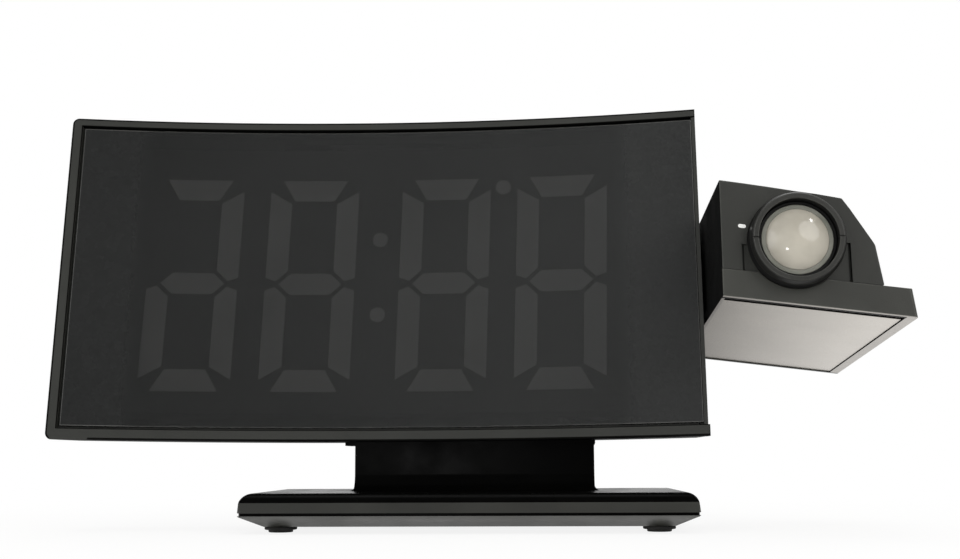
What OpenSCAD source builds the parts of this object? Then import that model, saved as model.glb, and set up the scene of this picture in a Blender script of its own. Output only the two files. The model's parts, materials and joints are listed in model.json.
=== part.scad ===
// Projection alarm clock: a curved LED clock on a slab stand, with a turning projector head at its right end.
// Millimetres, +Z up, the clock faces -Y. The origin is the middle of the footprint, on the table.

/* [Display] */
// Width of the clock face
display_w = 190; // [170:1:210]
// Height of the clock face, and of the projector head
display_h = 99.5; // [94:0.5:106]
// Depth of the clock body, front to back
display_d = 31.8; // [31:0.2:38]
// Radius of the hollow curve of the front
screen_r = 620; // [560:10:900]
// Angle that the clock leans back
display_lean = 8.5; // [4:0.5:12]
// Height of the lower front edge above the table, at the middle
display_z = 25; // [23:0.5:34]
// Thickness of the casing walls
case_wall = 2; // [1.6:0.1:2.4]
// Radius of the two left corners
corner_r = 2; // [1:0.1:2.8]

/* [Front frame and screen] */
// Depth of the front frame
frame_d = 8; // [7:0.5:9]
// Width of the frame at the left
frame_left = 3.1; // [2.4:0.1:4]
// Width of the frame along the top
frame_top = 2.6; // [2.2:0.1:3.4]
// Width of the frame along the bottom
frame_bottom = 3.4; // [2.8:0.1:4.2]
// How far the frame's ledge reaches in behind the screen
ledge_w = 1.5; // [1:0.1:2]
// Thickness of the ledge
ledge_t = 1.5; // [1:0.1:2]
// How far the lower bar of the frame runs past the right side wall
frame_tongue = 0.5; // [0.2:0.1:0.7]
// How far the screen sits behind the frame's front
screen_set = 0.4; // [0.2:0.1:0.8]
// Thickness of the smoked screen
screen_t = 1.5; // [1.2:0.1:2]
// Width of the groove around the screen
screen_groove = 0.75; // [0.3:0.05:0.9]
// Width of the side wall's lip beside the screen
side_lip = 1.1; // [0.9:0.1:1.5]

/* [Digits] */
// Width of a digit
digit_w = 27; // [24:0.5:28]
// Height of a digit
digit_h = 66; // [56:1:70]
// Width of a segment
stroke = 6.6; // [5:0.1:7.4]
// Distance between the digits of a pair
digit_pitch = 35.2; // [33:0.1:36]
// Distance between the two middle digits
colon_pitch = 40.4; // [39:0.1:42]
// Angle that the digits lean to the right
digit_slant = 1.4; // [0:0.1:4]
// How far the digits' middle lies below the face's middle
digit_drop = 1.6; // [0:0.1:3]
// How far the middle of the row lies to the right of the face's middle
digit_shift = -1.2; // [-3:0.1:2]
// Diameter of the colon's dots and of the alarm dot
dot_d = 4.6; // [3.6:0.1:5.4]
// Thickness of a lit segment's diffuser
diffuser_t = 2; // [1:0.1:3]

/* [Boards] */
// Thickness of the circuit boards
board_t = 1.6; // [1:0.1:2]
// Depth from the front to the display board's face
display_board_y = 9.5; // [9.2:0.1:11]
// Depth from the front to the main board's face
main_board_y = 19.8; // [19.4:0.1:20.4]
// Width of the main board
main_board_w = 96; // [90:1:104]
// Diameter of the board posts
post_d = 6; // [5:0.1:7]

/* [Keys] */
// Diameter of a rear button's cap
key_d = 8; // [6:0.1:9]
// Distance between rear buttons
key_pitch = 16; // [13:0.1:18]
// Height of the row of rear buttons
key_z = 70; // [64:0.5:76]
// How far a cap stands proud
key_proud = 1.2; // [1:0.1:1.6]
// Travel of a rear button and of the snooze bar
key_travel = 0.7; // [0.4:0.1:0.9]
// Length of the snooze bar
snooze_l = 64; // [50:1:74]
// Width of the snooze bar
snooze_w = 9.6; // [8:0.1:11]
// Gap around the caps
key_gap = 0.3; // [0.3:0.05:0.4]

/* [Speaker and sockets] */
// Diameter of the speaker
speaker_d = 26; // [22:0.5:28]
// Speaker's place to the right of the middle
speaker_x = 66; // [64:0.5:68]
// Speaker's height above the lower edge
speaker_z = 22; // [21:0.5:26]
// Place of the power inlet to the right of the middle
inlet_x = -34; // [-38:0.5:-30]
// Place of the charging port to the right of the middle
port_x = -14; // [-20:0.5:-8]
// Height of both sockets above the lower edge
socket_z = 12; // [11.5:0.5:14]

/* [Battery] */
// Diameter of the coin cell
cell_d = 20; // [16:0.5:20]
// Thickness of the coin cell
cell_t = 3.2; // [2:0.1:3.4]
// Cell's place to the right of the middle
cell_x = -68; // [-70:0.5:-66]
// Cell's height above the lower edge
cell_z = 26; // [22:0.5:34]
// How far the cap turns to open
cap_turn = 50; // [30:1:60]

/* [Stand] */
// Width of the base
base_w = 125.8; // [112:0.2:140]
// Depth of the base
base_d = 62; // [52:1:76]
// How far the base's front stands ahead of the clock's lower edge
base_ahead = 24; // [16:1:34]
// How far the stand's middle lies to the right of the face's middle
stand_shift = 27.6; // [22:0.1:32]
// Height of the seam between the base and its cover
base_seam_z = 4.7; // [4.4:0.1:5.6]
// Height of the base's top
base_top_z = 10.8; // [10.2:0.1:12]
// Height of the cover's underside, which is the height of the feet
foot_h = 1.6; // [1.4:0.1:2.4]
// How far the cover slopes in below the seam
base_slope = 6.5; // [4:0.1:8]
// Radius of the base's corners
base_corner_r = 2; // [1:0.5:6]
// Radius along the base's upper edges
base_edge_r = 3.5; // [2:0.1:4]
// How far the base's sides lean in, up to the rounded edges
base_draft = 0.35; // [0.2:0.05:1]
// Wall of the base
base_wall = 2; // [1.6:0.1:2.4]
// Height of the shadow groove at the seam
seam_groove = 0.8; // [0.3:0.1:1]
// Width of the neck
neck_w = 69.6; // [62:0.2:78]
// How far the neck's middle lies to the right of the base's middle
neck_shift = 0.7; // [-2:0.1:2]
// Depth of the neck
neck_d = 21; // [19:0.5:24]
// How far the neck's front stands behind the clock's lower edge
neck_back = 3.5; // [2:0.1:5]
// Radius of the sweep from the neck's front into the base
neck_sweep_r = 5; // [3:0.1:6]
// Diameter of a foot's flange
foot_flange_d = 9; // [8:0.1:11]
// Diameter of a foot's pad
foot_pad_d = 6.8; // [5:0.1:7.4]
// Distance from a foot's middle to the base's sides
foot_in_x = 10.5; // [10:0.1:14]
// Distance from a foot's middle to the base's front and back
foot_in_y = 10.5; // [10:0.1:14]

/* [Projector head] */
// Width of the head
head_w = 50.6; // [48:0.2:54]
// Gap between the clock and the head
head_gap = 1.1; // [1:0.1:1.5]
// Angle that the head's front plate is turned towards the viewer
head_skew = 7; // [5:0.5:9]
// Thickness of the front frame of the head
head_frame_t = 7.6; // [6.6:0.1:8.4]
// Turn of the head from its closed place
head_turn = 93.5; // [60:0.5:94]
// Turn from closed to the forward stop
head_stop = 94.5; // [90:0.5:100]
// Whole swing between the two stops
head_swing = 180; // [150:1:190]
// Wall of the head's shell
head_wall = 1.5; // [1.3:0.1:1.8]
// Width of the shell at its back
shell_back_w = 33.4; // [33:0.2:36]
// Width of the shell halfway, where its far side bends
shell_mid_w = 40.7; // [39:0.1:42]
// Width of the shell at the frame
shell_front_w = 42.4; // [41:0.2:44]
// Radius of the shell's back edge
shell_edge_r = 3; // [2:0.5:4]
// Thickness of the silver plate
plate_t = 1.5; // [1:0.1:2]
// Frame beside the plate, at the lens end
plate_margin_lens = 6.4; // [4:0.1:8]
// Frame beside the plate, at its far end
plate_margin = 1.6; // [1.4:0.1:3]
// Frame beside the plate, on the side away from the clock
plate_margin_far = 2.7; // [1.4:0.1:3.4]
// Width of the open channel between the plate and the frame, at the lens end
plate_channel = 3.5; // [2:0.1:4]

/* [Lens] */
// Lens axis, to the right of the head's left side
lens_x = 19.75; // [19:0.05:21]
// Lens axis, in front of the head's turning axis
lens_y = 0.5; // [0:0.1:0.8]
// Diameter of the projector lens
lens_d = 19.1; // [16:0.1:19.8]
// Height of the lens's dome
lens_dome = 2.3; // [1.6:0.1:2.6]
// Outer diameter of the focus ring
ring_d = 25.3; // [25:0.1:26.2]
// How far the focus ring stands out of the head
ring_proud = 5.2; // [4.6:0.1:6]
// Travel of the lens when the ring turns from end to end
lens_travel = 3; // [1:0.1:3.2]

/* [Axle] */
// Outer diameter of the hollow axle
axle_d = 9; // [8:0.1:9.6]
// Bore of the axle, which the lamp lead runs through
axle_bore_d = 4.4; // [3.6:0.1:5]
// Diameter of the bush in the clock's side wall
bush_d = 13; // [12:0.1:14]
// Radial clearance of the running fit
axle_clearance = 0.06; // [0.03:0.01:0.09]
// Diameter of the lamp lead
lead_d = 2.4; // [1.8:0.1:3]

/* [Fasteners] */
// Shank diameter of the casing screws
screw_d = 2.4; // [2:0.1:2.6]
// Head diameter of the casing screws
screw_head_d = 4.8; // [4:0.1:5]

/* [Hidden] */

// Resolution
round_fn = 48;
ring_fn = 96;
arc_fn = 720;
eps = 0.01;
reach = 300;

// Clearances
fit = 0.1;
thread_fit = 0.05;
face_gap = 0.1;
seam_gap = 0.05;

// Places shared by several pieces
screen_back = screen_set + screen_t;
right_x = display_w / 2;
left_x = -display_w / 2;
screen_left = left_x + frame_left;
wall_in_x = right_x - case_wall;
head_x = right_x + head_gap;
head_end_x = head_x + head_w;
axle_z = display_h / 2;
front_at_side = arc_y(right_x, 0);
back_at_side = arc_y(right_x, display_d);
axle_y = (front_at_side + back_at_side) / 2 - 1;
plate_front = front_at_side - axle_y;
half_h = display_h / 2;

// Middle of the footprint: from the clock's left side to the head's right side,
// and from the front of the focus ring to the far end of the head
net_turn = head_turn - display_lean;
lens_front = half_h + ring_proud;
axle_world_y = axle_y * cos(display_lean) + axle_z * sin(display_lean);
ring_reach = -lens_front * sin(net_turn) - (lens_y + ring_d / 2) * cos(net_turn);
rear_reach = half_h * sin(net_turn) + (arc_y(head_x, display_d) - axle_y) * cos(net_turn);
origin_x = (left_x + head_end_x) / 2;
origin_y = axle_world_y + (ring_reach + rear_reach) / 2;

// The two ends of a stretch around its middle
function around(middle, half) = [middle - half, middle + half];
// Depth coordinate of a curved surface that lies "deep" behind the front, at x from the middle
function arc_y(x, deep) = sqrt(pow(screen_r + deep, 2) - x * x) - screen_r;

module in_product() translate([-origin_x, -origin_y, 0]) children();
module leaning() translate([0, 0, display_z]) rotate([-display_lean, 0, 0]) children();
module in_display() in_product() leaning() children();
module in_head() in_display() translate([0, axle_y, axle_z]) rotate([head_turn, 0, 0]) children();

// ---- Shapes used again and again ----

// Everything on the viewer's side of a surface concentric with the front
module ahead_of(deep, z)
  translate([0, -screen_r, z[0]]) cylinder(r = screen_r + deep, h = z[1] - z[0], $fn = arc_fn);

// Everything above the clock's underside, which is level once the clock leans back
module above_underside(drop = 0) {
  h = display_h + 10;
  translate([0, -screen_r, -drop])
    cylinder(r1 = screen_r, r2 = screen_r + h / tan(display_lean), h = h, $fn = arc_fn);
}

// A curved slab between two depths
module arc_band(x, deep, z) {
  low_y = arc_y(max(abs(x[0]), abs(x[1])), deep[0]) - 1;
  intersection() {
    difference() {
      ahead_of(deep[1], z);
      ahead_of(deep[0], [z[0] - 1, z[1] + 1]);
    }
    translate([x[0], low_y, z[0]]) cube([x[1] - x[0], deep[1] + 1 - low_y, z[1] - z[0]]);
  }
}

// A slab with a curved front and a flat back
module arc_to_flat(x, deep, flat_y, z) {
  low_y = arc_y(max(abs(x[0]), abs(x[1])), deep) - 1;
  difference() {
    translate([x[0], low_y, z[0]]) cube([x[1] - x[0], flat_y - low_y, z[1] - z[0]]);
    ahead_of(deep, [z[0] - 1, z[1] + 1]);
  }
}

module box(x, y, z) translate([x[0], y[0], z[0]]) cube([x[1] - x[0], y[1] - y[0], z[1] - z[0]]);
module tube(outer_r, inner_r, h) difference() {
  cylinder(r = outer_r, h = h, $fn = round_fn);
  translate([0, 0, -1]) cylinder(r = inner_r, h = h + 2, $fn = round_fn);
}
// Cylinders along the height, the depth and the width
module rod(r, z) translate([0, 0, z[0]]) cylinder(r = r, h = z[1] - z[0], $fn = round_fn);
module along_y(x, z, y, r) translate([x, 0, z]) rotate([-90, 0, 0]) rod(r, y);
module along_x(y, z, x, r) translate([0, y, z]) rotate([0, 90, 0]) rod(r, x);
module at_each(places) for (p = places) translate([p[0], p[1], 0]) children();

// Screw with its head below z = 0 and its shank above
module screw(shank_d, head_d, head_h, shank_l) difference() {
  union() {
    translate([0, 0, -head_h]) cylinder(d = head_d, h = head_h, $fn = round_fn);
    cylinder(d = shank_d, h = shank_l, $fn = round_fn);
  }
  // cross recess
  for (turn = [0, 90]) rotate([0, 0, turn])
    box(around(0, head_d * 0.32), around(0, head_d * 0.07), [-head_h - 1, -head_h * 0.45]);
}

// Prism through the depth with the clock's outline: round corners at the left, square at the right
module outline_prism() {
  y = [front_at_side - 3, display_d + 3];
  box([left_x + corner_r, right_x + frame_tongue], y, [0, display_h]);
  box([left_x, left_x + corner_r + 1], y, [corner_r, display_h - corner_r]);
  for (z = [corner_r, display_h - corner_r]) along_y(left_x + corner_r, z, y, corner_r);
}

// ---- Stand ----

base_y = -base_ahead;
base_mid_y = base_y + base_d / 2;
// Four places, the same distance in from the base's sides, and from its front and back
function base_corners(in_x, in_y) = [for (sx = [-1, 1], sy = [-1, 1])
  [stand_shift + sx * (base_w / 2 - in_x), base_mid_y + sy * (base_d / 2 - in_y)]];
foot_places = base_corners(foot_in_x, foot_in_y);
base_screw_aside = 13;
base_screw_places = base_corners(foot_in_x + base_screw_aside, foot_in_y + 2);
base_boss_r = 3.2;
base_head_h = 1.2;
cover_floor = 1.4;
base_shank_l = base_top_z - base_wall - foot_h - base_head_h - 0.4;
neck_top_wall = 3.2;
neck_wall = 2.2;
neck_screw_y = 14;
neck_x = around(stand_shift + neck_shift, neck_w / 2);
neck_screw_places = [for (x = neck_x + [11.5, -11.5]) [x, neck_screw_y]];
neck_screw_l = 10;
neck_seat_z = tan(display_lean) * neck_screw_y - neck_top_wall + 0.5;
neck_hole_top = neck_seat_z + neck_screw_l + 0.6;
ear_t = 1.1;
ear_left = 3.4;
ear_right = 0.5;
neck_foot_r = 1.8;
seam_groove_deep = 1;

// Plan of the base, with round corners
module base_plan(inset, z) {
  x0 = stand_shift - base_w / 2 + inset;
  y0 = base_y + inset;
  w = base_w - 2 * inset;
  d = base_d - 2 * inset;
  r = base_corner_r;
  box([x0 + r, x0 + w - r], [y0, y0 + d], z);
  box([x0, x0 + w], [y0 + r, y0 + d - r], z);
  for (x = [x0 + r, x0 + w - r], y = [y0 + r, y0 + d - r])
    translate([x, y, z[0]]) cylinder(r = r, h = z[1] - z[0], $fn = round_fn);
}

// Side view of the base, with leaning sides and round upper edges, swept along X or along Y
module rounded_top(length, across, z0, z1, r) {
  lean = atan(base_draft / (z1 - r - z0));
  cx = across / 2 - base_draft - r / cos(lean);
  foot = across / 2 + 2 * tan(lean);
  arc = [for (k = [0 : 12]) let (a = lean + (90 - lean) * k / 12) [cx + r * cos(a), z1 - r + r * sin(a)]];
  translate([-length / 2, 0, 0]) rotate([90, 0, 90]) linear_extrude(length)
    polygon(concat([[-foot, z0 - 2], [foot, z0 - 2]], arc,
      [for (k = [12 : -1 : 0]) [-arc[k][0], arc[k][1]]]));
}

module neck_block() {
  y = [neck_back, neck_back + neck_d];
  x = neck_x;
  r = neck_sweep_r;
  difference() {
    union() {
      box(x, y, [base_top_z - 1, display_z + 6]);
      // sweep into the base at the front and back
      difference() {
        box(x, [y[0] - r, y[1] + r], [base_top_z - 1, base_top_z + r]);
        for (edge = [y[0] - r, y[1] + r]) along_x(edge, base_top_z + r, [x[0] - 1, x[1] + 1], r);
      }
      // smaller fillets at the two sides
      difference() {
        box([x[0] - neck_foot_r, x[1] + neck_foot_r], y, [base_top_z - 1, base_top_z + neck_foot_r]);
        for (edge = [x[0] - neck_foot_r, x[1] + neck_foot_r])
          along_y(edge, base_top_z + neck_foot_r, [y[0] - 1, y[1] + 1], neck_foot_r);
      }
      // flange under the clock, with an ear at each side
      box(x + [-ear_left, ear_right], around(neck_screw_y, 7), [display_z - ear_t, display_z + 2]);
    }
    // the top follows the clock's underside
    leaning() above_underside(seam_gap);
  }
}

module stand_body() color("#161616") in_product() difference() {
  union() {
    intersection() {
      base_plan(0, [base_seam_z, base_top_z]);
      translate([stand_shift, base_mid_y, 0])
        rounded_top(base_w + 2, base_d, base_seam_z + seam_groove / 2, base_top_z, base_edge_r);
      translate([stand_shift, base_mid_y, 0]) rotate([0, 0, 90])
        rounded_top(base_d + 2, base_w, base_seam_z + seam_groove / 2, base_top_z, base_edge_r);
    }
    neck_block();
  }
  // shadow groove along the seam
  difference() {
    base_plan(-1, [base_seam_z - 1, base_seam_z + seam_groove]);
    base_plan(seam_groove_deep, [base_seam_z - 2, base_top_z]);
  }
  // hollow of the base, around its screw bosses
  difference() {
    base_plan(base_wall + base_draft, [base_seam_z - 1, base_top_z - base_wall]);
    at_each(base_screw_places) rod(base_boss_r, [0, base_top_z]);
  }
  // hollow of the neck
  difference() {
    box(neck_x + [neck_wall, -neck_wall], [neck_back + neck_wall, neck_back + neck_d - neck_wall],
        [base_seam_z, display_z + 1]);
    leaning() above_underside(neck_top_wall);
  }
  at_each(base_screw_places) rod(screw_d / 2 + thread_fit, [base_seam_z - 1, base_top_z - base_wall]);
  leaning() at_each(neck_screw_places) {
    rod(screw_d / 2 + fit, [neck_seat_z - 3, neck_seat_z + neck_top_wall + 1]);
    rod(screw_head_d / 2 + fit, [neck_seat_z - 2, neck_seat_z]);
  }
}

module base_cover() color("#2b2b2a") in_product() difference() {
  intersection() {
    base_plan(0, [foot_h, base_seam_z]);
    translate([stand_shift, base_mid_y, 0]) slope_prism(base_w + 2, base_d);
    translate([stand_shift, base_mid_y, 0]) rotate([0, 0, 90]) slope_prism(base_d + 2, base_w);
  }
  difference() {
    base_plan(base_slope + base_wall, [foot_h + cover_floor, base_seam_z + 1]);
    at_each(concat(base_screw_places, foot_places)) rod(base_boss_r, [0, base_seam_z]);
  }
  at_each(base_screw_places) {
    rod(screw_head_d / 2 + fit, [foot_h - 1, foot_h + base_head_h]);
    rod(screw_d / 2 + fit, [foot_h - 1, reach]);
  }
  at_each(foot_places) rod(foot_stem_d / 2, [foot_h - 1, foot_h + foot_stem_h]);
}

// Block whose long sides slope in from the seam down to the underside
module slope_prism(length, across) translate([-length / 2, 0, 0]) rotate([90, 0, 90])
  linear_extrude(length) polygon([[-across / 2, base_seam_z], [across / 2, base_seam_z],
    [across / 2 - base_slope, foot_h], [-across / 2 + base_slope, foot_h]]);

foot_stem_d = 2.8;
foot_stem_h = 1.8;
foot_flange_h = 0.9;
module rubber_feet() color("#1c1c1c") in_product() at_each(foot_places) {
  rod(foot_pad_d / 2, [0, foot_h]);
  rod(foot_flange_d / 2, [foot_h - foot_flange_h, foot_h]);
  rod(foot_stem_d / 2 - fit, [foot_h - eps, foot_h + foot_stem_h - eps]);
}

module base_screws() color("silver") in_product() at_each(base_screw_places)
  translate([0, 0, foot_h + base_head_h]) screw(screw_d, screw_head_d, base_head_h - 0.2, base_shank_l);

module neck_screws() color("silver") in_display() at_each(neck_screw_places)
  translate([0, 0, neck_seat_z]) screw(screw_d, screw_head_d, casing_head_h - 0.2, neck_screw_l);

// ---- Clock casing ----

// The casing screws pass through deep bosses of the rear cover into posts on the front frame
case_boss_in = 9.5;
case_boss_r = 4;
case_post_r = 3;
case_post_end = 11;
case_head_seat = 15;
case_shank_l = 10;
casing_head_h = 1.8;
case_screw_places = [for (sx = [-1, 1], z = [case_boss_in, display_h - case_boss_in])
  [sx * (right_x - case_boss_in), z]];
bars_z = [frame_bottom, display_h - frame_top];
ledge_end_x = wall_in_x - 0.3;
side_wall_z = [bars_z[0] + fit, bars_z[1] - fit];

module case_corner_plate(p) {
  x = p[0] < 0 ? [left_x + 1, p[0] + case_post_r] : [p[0] - case_post_r, ledge_end_x];
  z = p[1] < half_h ? [1, p[1] + case_post_r] : [p[1] - case_post_r, display_h - 1];
  arc_band(x, [screen_back + seam_gap, screen_back + ledge_t], z);
}

module front_frame() color("#242422") in_display() difference() {
  union() {
    // bars along the left, the top and the bottom
    difference() {
      intersection() {
        arc_band([left_x, right_x + frame_tongue], [0, frame_d], [0, display_h]);
        outline_prism();
        above_underside();
      }
      arc_band([screen_left, right_x + 2], [-1, frame_d + 1], bars_z);
      box([right_x, right_x + 2], [-reach, reach], [frame_bottom, display_h + 1]);
    }
    // ledge that the screen rests on
    difference() {
      arc_band([screen_left - 1, ledge_end_x], [screen_back + seam_gap, screen_back + ledge_t],
               [bars_z[0] - 1, bars_z[1] + 1]);
      arc_band([screen_left + ledge_w, right_x], [screen_back - 1, screen_back + ledge_t + 1],
               [bars_z[0] + ledge_w, bars_z[1] - ledge_w]);
    }
    for (p = case_screw_places) {
      case_corner_plate(p);
      difference() {
        along_y(p[0], p[1], [front_at_side, case_post_end], case_post_r);
        ahead_of(screen_back + seam_gap, [0, display_h]);
      }
    }
  }
  for (p = case_screw_places)
    along_y(p[0], p[1], [case_head_seat - case_shank_l - 0.4, case_post_end + 1], screw_d / 2 + thread_fit);
}

module screen_lens() color("#33363a") in_display()
  arc_band([screen_left + screen_groove, right_x - side_lip - fit], [screen_set, screen_back],
           [bars_z[0] + screen_groove, bars_z[1] - screen_groove]);

// Display board and its screws
display_board_z = [display_h * 0.16, display_h * 0.845];
board_post_x = 80;
display_board_half_w = board_post_x + 3;
board_post_z = [display_h * 0.4, display_h * 0.785];
board_head_h = 1.4;
board_screw_l = 6;
main_board_z = [7, display_h - 11.5];
main_post_x = main_board_w / 2 - 5;
main_post_z = [display_h * 0.3, display_h * 0.825];
display_posts = [for (x = [-board_post_x, board_post_x], z = board_post_z) [x, z]];
main_posts = [for (x = [-main_post_x, main_post_x], z = main_post_z) [x, z]];
display_board_back = display_board_y + board_t;
main_board_back = main_board_y + board_t;

// Keys and their switches
switch_h = 3.5;
plunger_h = 0.5;
switch_w = 6;
keys = 5;
key_x = [for (i = [0 : keys - 1]) (i - (keys - 1) / 2) * key_pitch];
switch_top_y = main_board_back + switch_h;
key_front_y = switch_top_y + plunger_h + key_travel + 0.1;
key_flange = 1;
snooze_y = 19;
snooze_t = 1.5;
snooze_stem_w = 4;
flange_gap = 0.15;
inner_deep = display_d - case_wall;
snooze_switch_z = main_board_z[1] + 1;

// Battery compartment
cup_wall = 2.8;
cup_r = cell_d / 2 + 3.2;
cup_floor_y = 19.6;
cup_bottom_t = 1.4;
cell_y = cup_floor_y + 0.8;
cap_t = 2;
cap_y = arc_y(cell_x, display_d) - cap_t - 1.4;
lug_r = cup_r + 1.1;
lug_h = 1;
lug_angle = 14;
lug_play = 2;

// Speaker
speaker_front_y = 22.5;
speaker_t = 4.6;
speaker_ring_wall = 1.8;
speaker_ring_y = speaker_front_y - speaker_t;
magnet_d = 15;
magnet_h = 5;

// Hub in the side wall
hub_boss_l = 3.5;
hub_x = wall_in_x - hub_boss_l;
hub_boss_r = bush_d / 2 + 2;

// Bosses stay under the casing's outer surface
module bosses() intersection() {
  ahead_of(inner_deep + 0.5, [0, display_h]);
  above_underside(-0.5);
  union() {
    for (p = case_screw_places) along_y(p[0], p[1], [case_post_end, display_d], case_boss_r);
    for (p = display_posts) along_y(p[0], p[1], [display_board_back, display_d], post_d / 2);
    for (p = main_posts) along_y(p[0], p[1], [main_board_back, display_d], post_d / 2);
    along_y(speaker_x, speaker_z, [speaker_ring_y, display_d], speaker_d / 2 + speaker_ring_wall);
    along_y(cell_x, cell_z, [cup_floor_y - cup_bottom_t, display_d], cup_r + cup_wall);
    along_x(axle_y, axle_z, [hub_x, wall_in_x + 0.1], hub_boss_r);
    at_each(neck_screw_places) rod(screw_d / 2 + 2, [0, neck_hole_top + 2.3]);
  }
}

module speaker_slots() {
  slot_h = 1.6;
  slot_pitch = 3.6;
  slot_reach = speaker_d / 2 - 2.6;
  for (i = [-2 : 2]) {
    half_l = sqrt(slot_reach * slot_reach - pow(i * slot_pitch, 2));
    box([speaker_x - half_l, speaker_x + half_l], [speaker_front_y, display_d + 2],
        around(speaker_z + i * slot_pitch, slot_h / 2));
  }
}

// Bayonet slots: each goes in along the depth, then round by the cap's turn
module bayonet_slots() at_cap(cap_y - lug_h) for (side = [0, 180]) rotate([0, 0, side]) {
  slot_w = lug_r - cup_r + 1 + 0.3;
  translate([0, 0, -0.2]) rotate([0, 0, -lug_angle / 2 - lug_play])
    rotate_extrude(angle = cap_turn + lug_angle / 2, $fn = ring_fn)
      translate([cup_r - 1, 0]) square([slot_w, lug_h + 0.4]);
  rotate([0, 0, cap_turn - lug_angle / 2 - lug_play])
    rotate_extrude(angle = lug_angle + 2 * lug_play, $fn = ring_fn)
      translate([cup_r - 1.5, 0]) square([slot_w + 0.6, display_d]);
}
module at_cap(y) translate([cell_x, y, cell_z]) rotate([-90, 0, 0]) children();

module rear_cover() color("#1d1d1c") in_display() difference() {
  union() {
    difference() {
      intersection() {
        arc_band([left_x, right_x], [frame_d + seam_gap, display_d], [0, display_h]);
        outline_prism();
        above_underside();
      }
      intersection() {
        arc_band([left_x + case_wall, wall_in_x], [frame_d - 1, inner_deep], [0, display_h - case_wall]);
        above_underside(-case_wall);
      }
    }
    // side wall beside the screen, with a lip in front
    arc_band([wall_in_x, right_x], [screen_back + seam_gap, frame_d + 0.5], side_wall_z);
    arc_band([right_x - side_lip, right_x], [screen_set, screen_back + 0.5], side_wall_z);
    bosses();
  }
  for (p = case_screw_places) {
    along_y(p[0], p[1], [case_head_seat, display_d + 2], screw_head_d / 2 + fit);
    along_y(p[0], p[1], [case_post_end - 1, display_d], screw_d / 2 + fit);
  }
  for (p = display_posts)
    along_y(p[0], p[1], [display_board_y, display_board_back + board_screw_l], screw_d / 2 + thread_fit);
  for (p = main_posts)
    along_y(p[0], p[1], [main_board_y, main_board_back + board_screw_l], screw_d / 2 + thread_fit);
  for (x = key_x) along_y(x, key_z, [key_front_y, display_d + 2], key_d / 2 + key_gap);
  box(around(0, snooze_l / 2 + key_gap), around(snooze_y, snooze_w / 2 + key_gap),
      [display_h - case_wall - 1, display_h + 1]);
  // seat and slots of the speaker
  along_y(speaker_x, speaker_z, [speaker_ring_y - 1, speaker_front_y], speaker_d / 2 + fit);
  difference() {
    along_y(speaker_x, speaker_z, [speaker_front_y - 0.1, display_d], speaker_d / 2 - 1.4);
    difference() {
      box([speaker_x - speaker_d, speaker_x + speaker_d], [0, 2 * display_d], [0, display_h]);
      ahead_of(inner_deep, [-1, display_h + 1]);
    }
  }
  speaker_slots();
  // sockets
  along_y(inlet_x, socket_z, [main_board_back, display_d + 2], inlet_nose_r + 2 * fit);
  box(around(port_x, port_w / 2 + 2 * fit), [inner_deep - 6, display_d + 2],
      around(socket_z, port_h / 2 + 2 * fit));
  // battery compartment
  along_y(cell_x, cell_z, [cup_floor_y, display_d + 2], cup_r);
  bayonet_slots();
  // bush of the head's axle
  along_x(axle_y, axle_z, [hub_x - 1, right_x + 1], bush_d / 2 + thread_fit);
  at_each(neck_screw_places) rod(screw_d / 2 + thread_fit, [-1, neck_hole_top]);
}

module housing_screws() color("silver") in_display() for (p = case_screw_places)
  translate([p[0], case_head_seat, p[1]]) rotate([90, 0, 0])
    screw(screw_d, screw_head_d, casing_head_h, case_shank_l);

module board_screw(p, y) translate([p[0], y, p[1]]) rotate([-90, 0, 0])
  screw(screw_d, screw_head_d, board_head_h, board_t + board_screw_l - 0.6);
module board_screws() color("silver") in_display() {
  for (p = display_posts) board_screw(p, display_board_y);
  for (p = main_posts) board_screw(p, main_board_y);
}

// ---- Digits ----

segment_gap = 0.9;
corner_cut = 3.6;
middle_in = 4;
middle_y = digit_h / 2;
reflector_front = screen_back + 0.5;
reflector_half_w = board_post_x - 3;
reflector_in_z = 8.5;
reflector_z = [reflector_in_z, display_h - reflector_in_z];
digit_foot = half_h - digit_drop - digit_h / 2;
led_h = 0.8;
led_w = 2.8;

function digit_left(i) = digit_shift - digit_w / 2
  + (i < 2 ? -colon_pitch / 2 - (1 - i) * digit_pitch : colon_pitch / 2 + (i - 2) * digit_pitch);
// A point of a digit, leaned to the right, in the clock's X and Z
function leaned(i, p) = [digit_left(i) + p[0] + (p[1] - middle_y) * tan(digit_slant), digit_foot + p[1]];

top_segment = [[corner_cut, digit_h], [digit_w - corner_cut, digit_h],
  [digit_w - stroke - segment_gap, digit_h - stroke], [stroke + segment_gap, digit_h - stroke]];
side_segment = [[digit_w, digit_h - corner_cut], [digit_w, middle_y + 2],
  [digit_w - middle_in + segment_gap, middle_y + segment_gap],
  [digit_w - stroke, middle_y + stroke / 2 + segment_gap],
  [digit_w - stroke, digit_h - stroke - segment_gap]];
middle_segment = [[middle_in, middle_y], [stroke + segment_gap, middle_y + stroke / 2],
  [digit_w - stroke - segment_gap, middle_y + stroke / 2], [digit_w - middle_in, middle_y],
  [digit_w - stroke - segment_gap, middle_y - stroke / 2], [stroke + segment_gap, middle_y - stroke / 2]];
function across(pts) = [for (p = pts) [digit_w - p[0], p[1]]];
function upended(pts) = [for (p = pts) [p[0], digit_h - p[1]]];
all_segments = [top_segment, side_segment, upended(side_segment), upended(top_segment),
  upended(across(side_segment)), across(side_segment), middle_segment];
// The leading digit has no upper left segment
digit_segments = [for (i = [0 : 3]) [for (k = [0 : 6]) if (i > 0 || k != 5) all_segments[k]]];
function middle_of(pts) = [for (k = [0, 1]) (min([for (p = pts) p[k]]) + max([for (p = pts) p[k]])) / 2];

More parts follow.
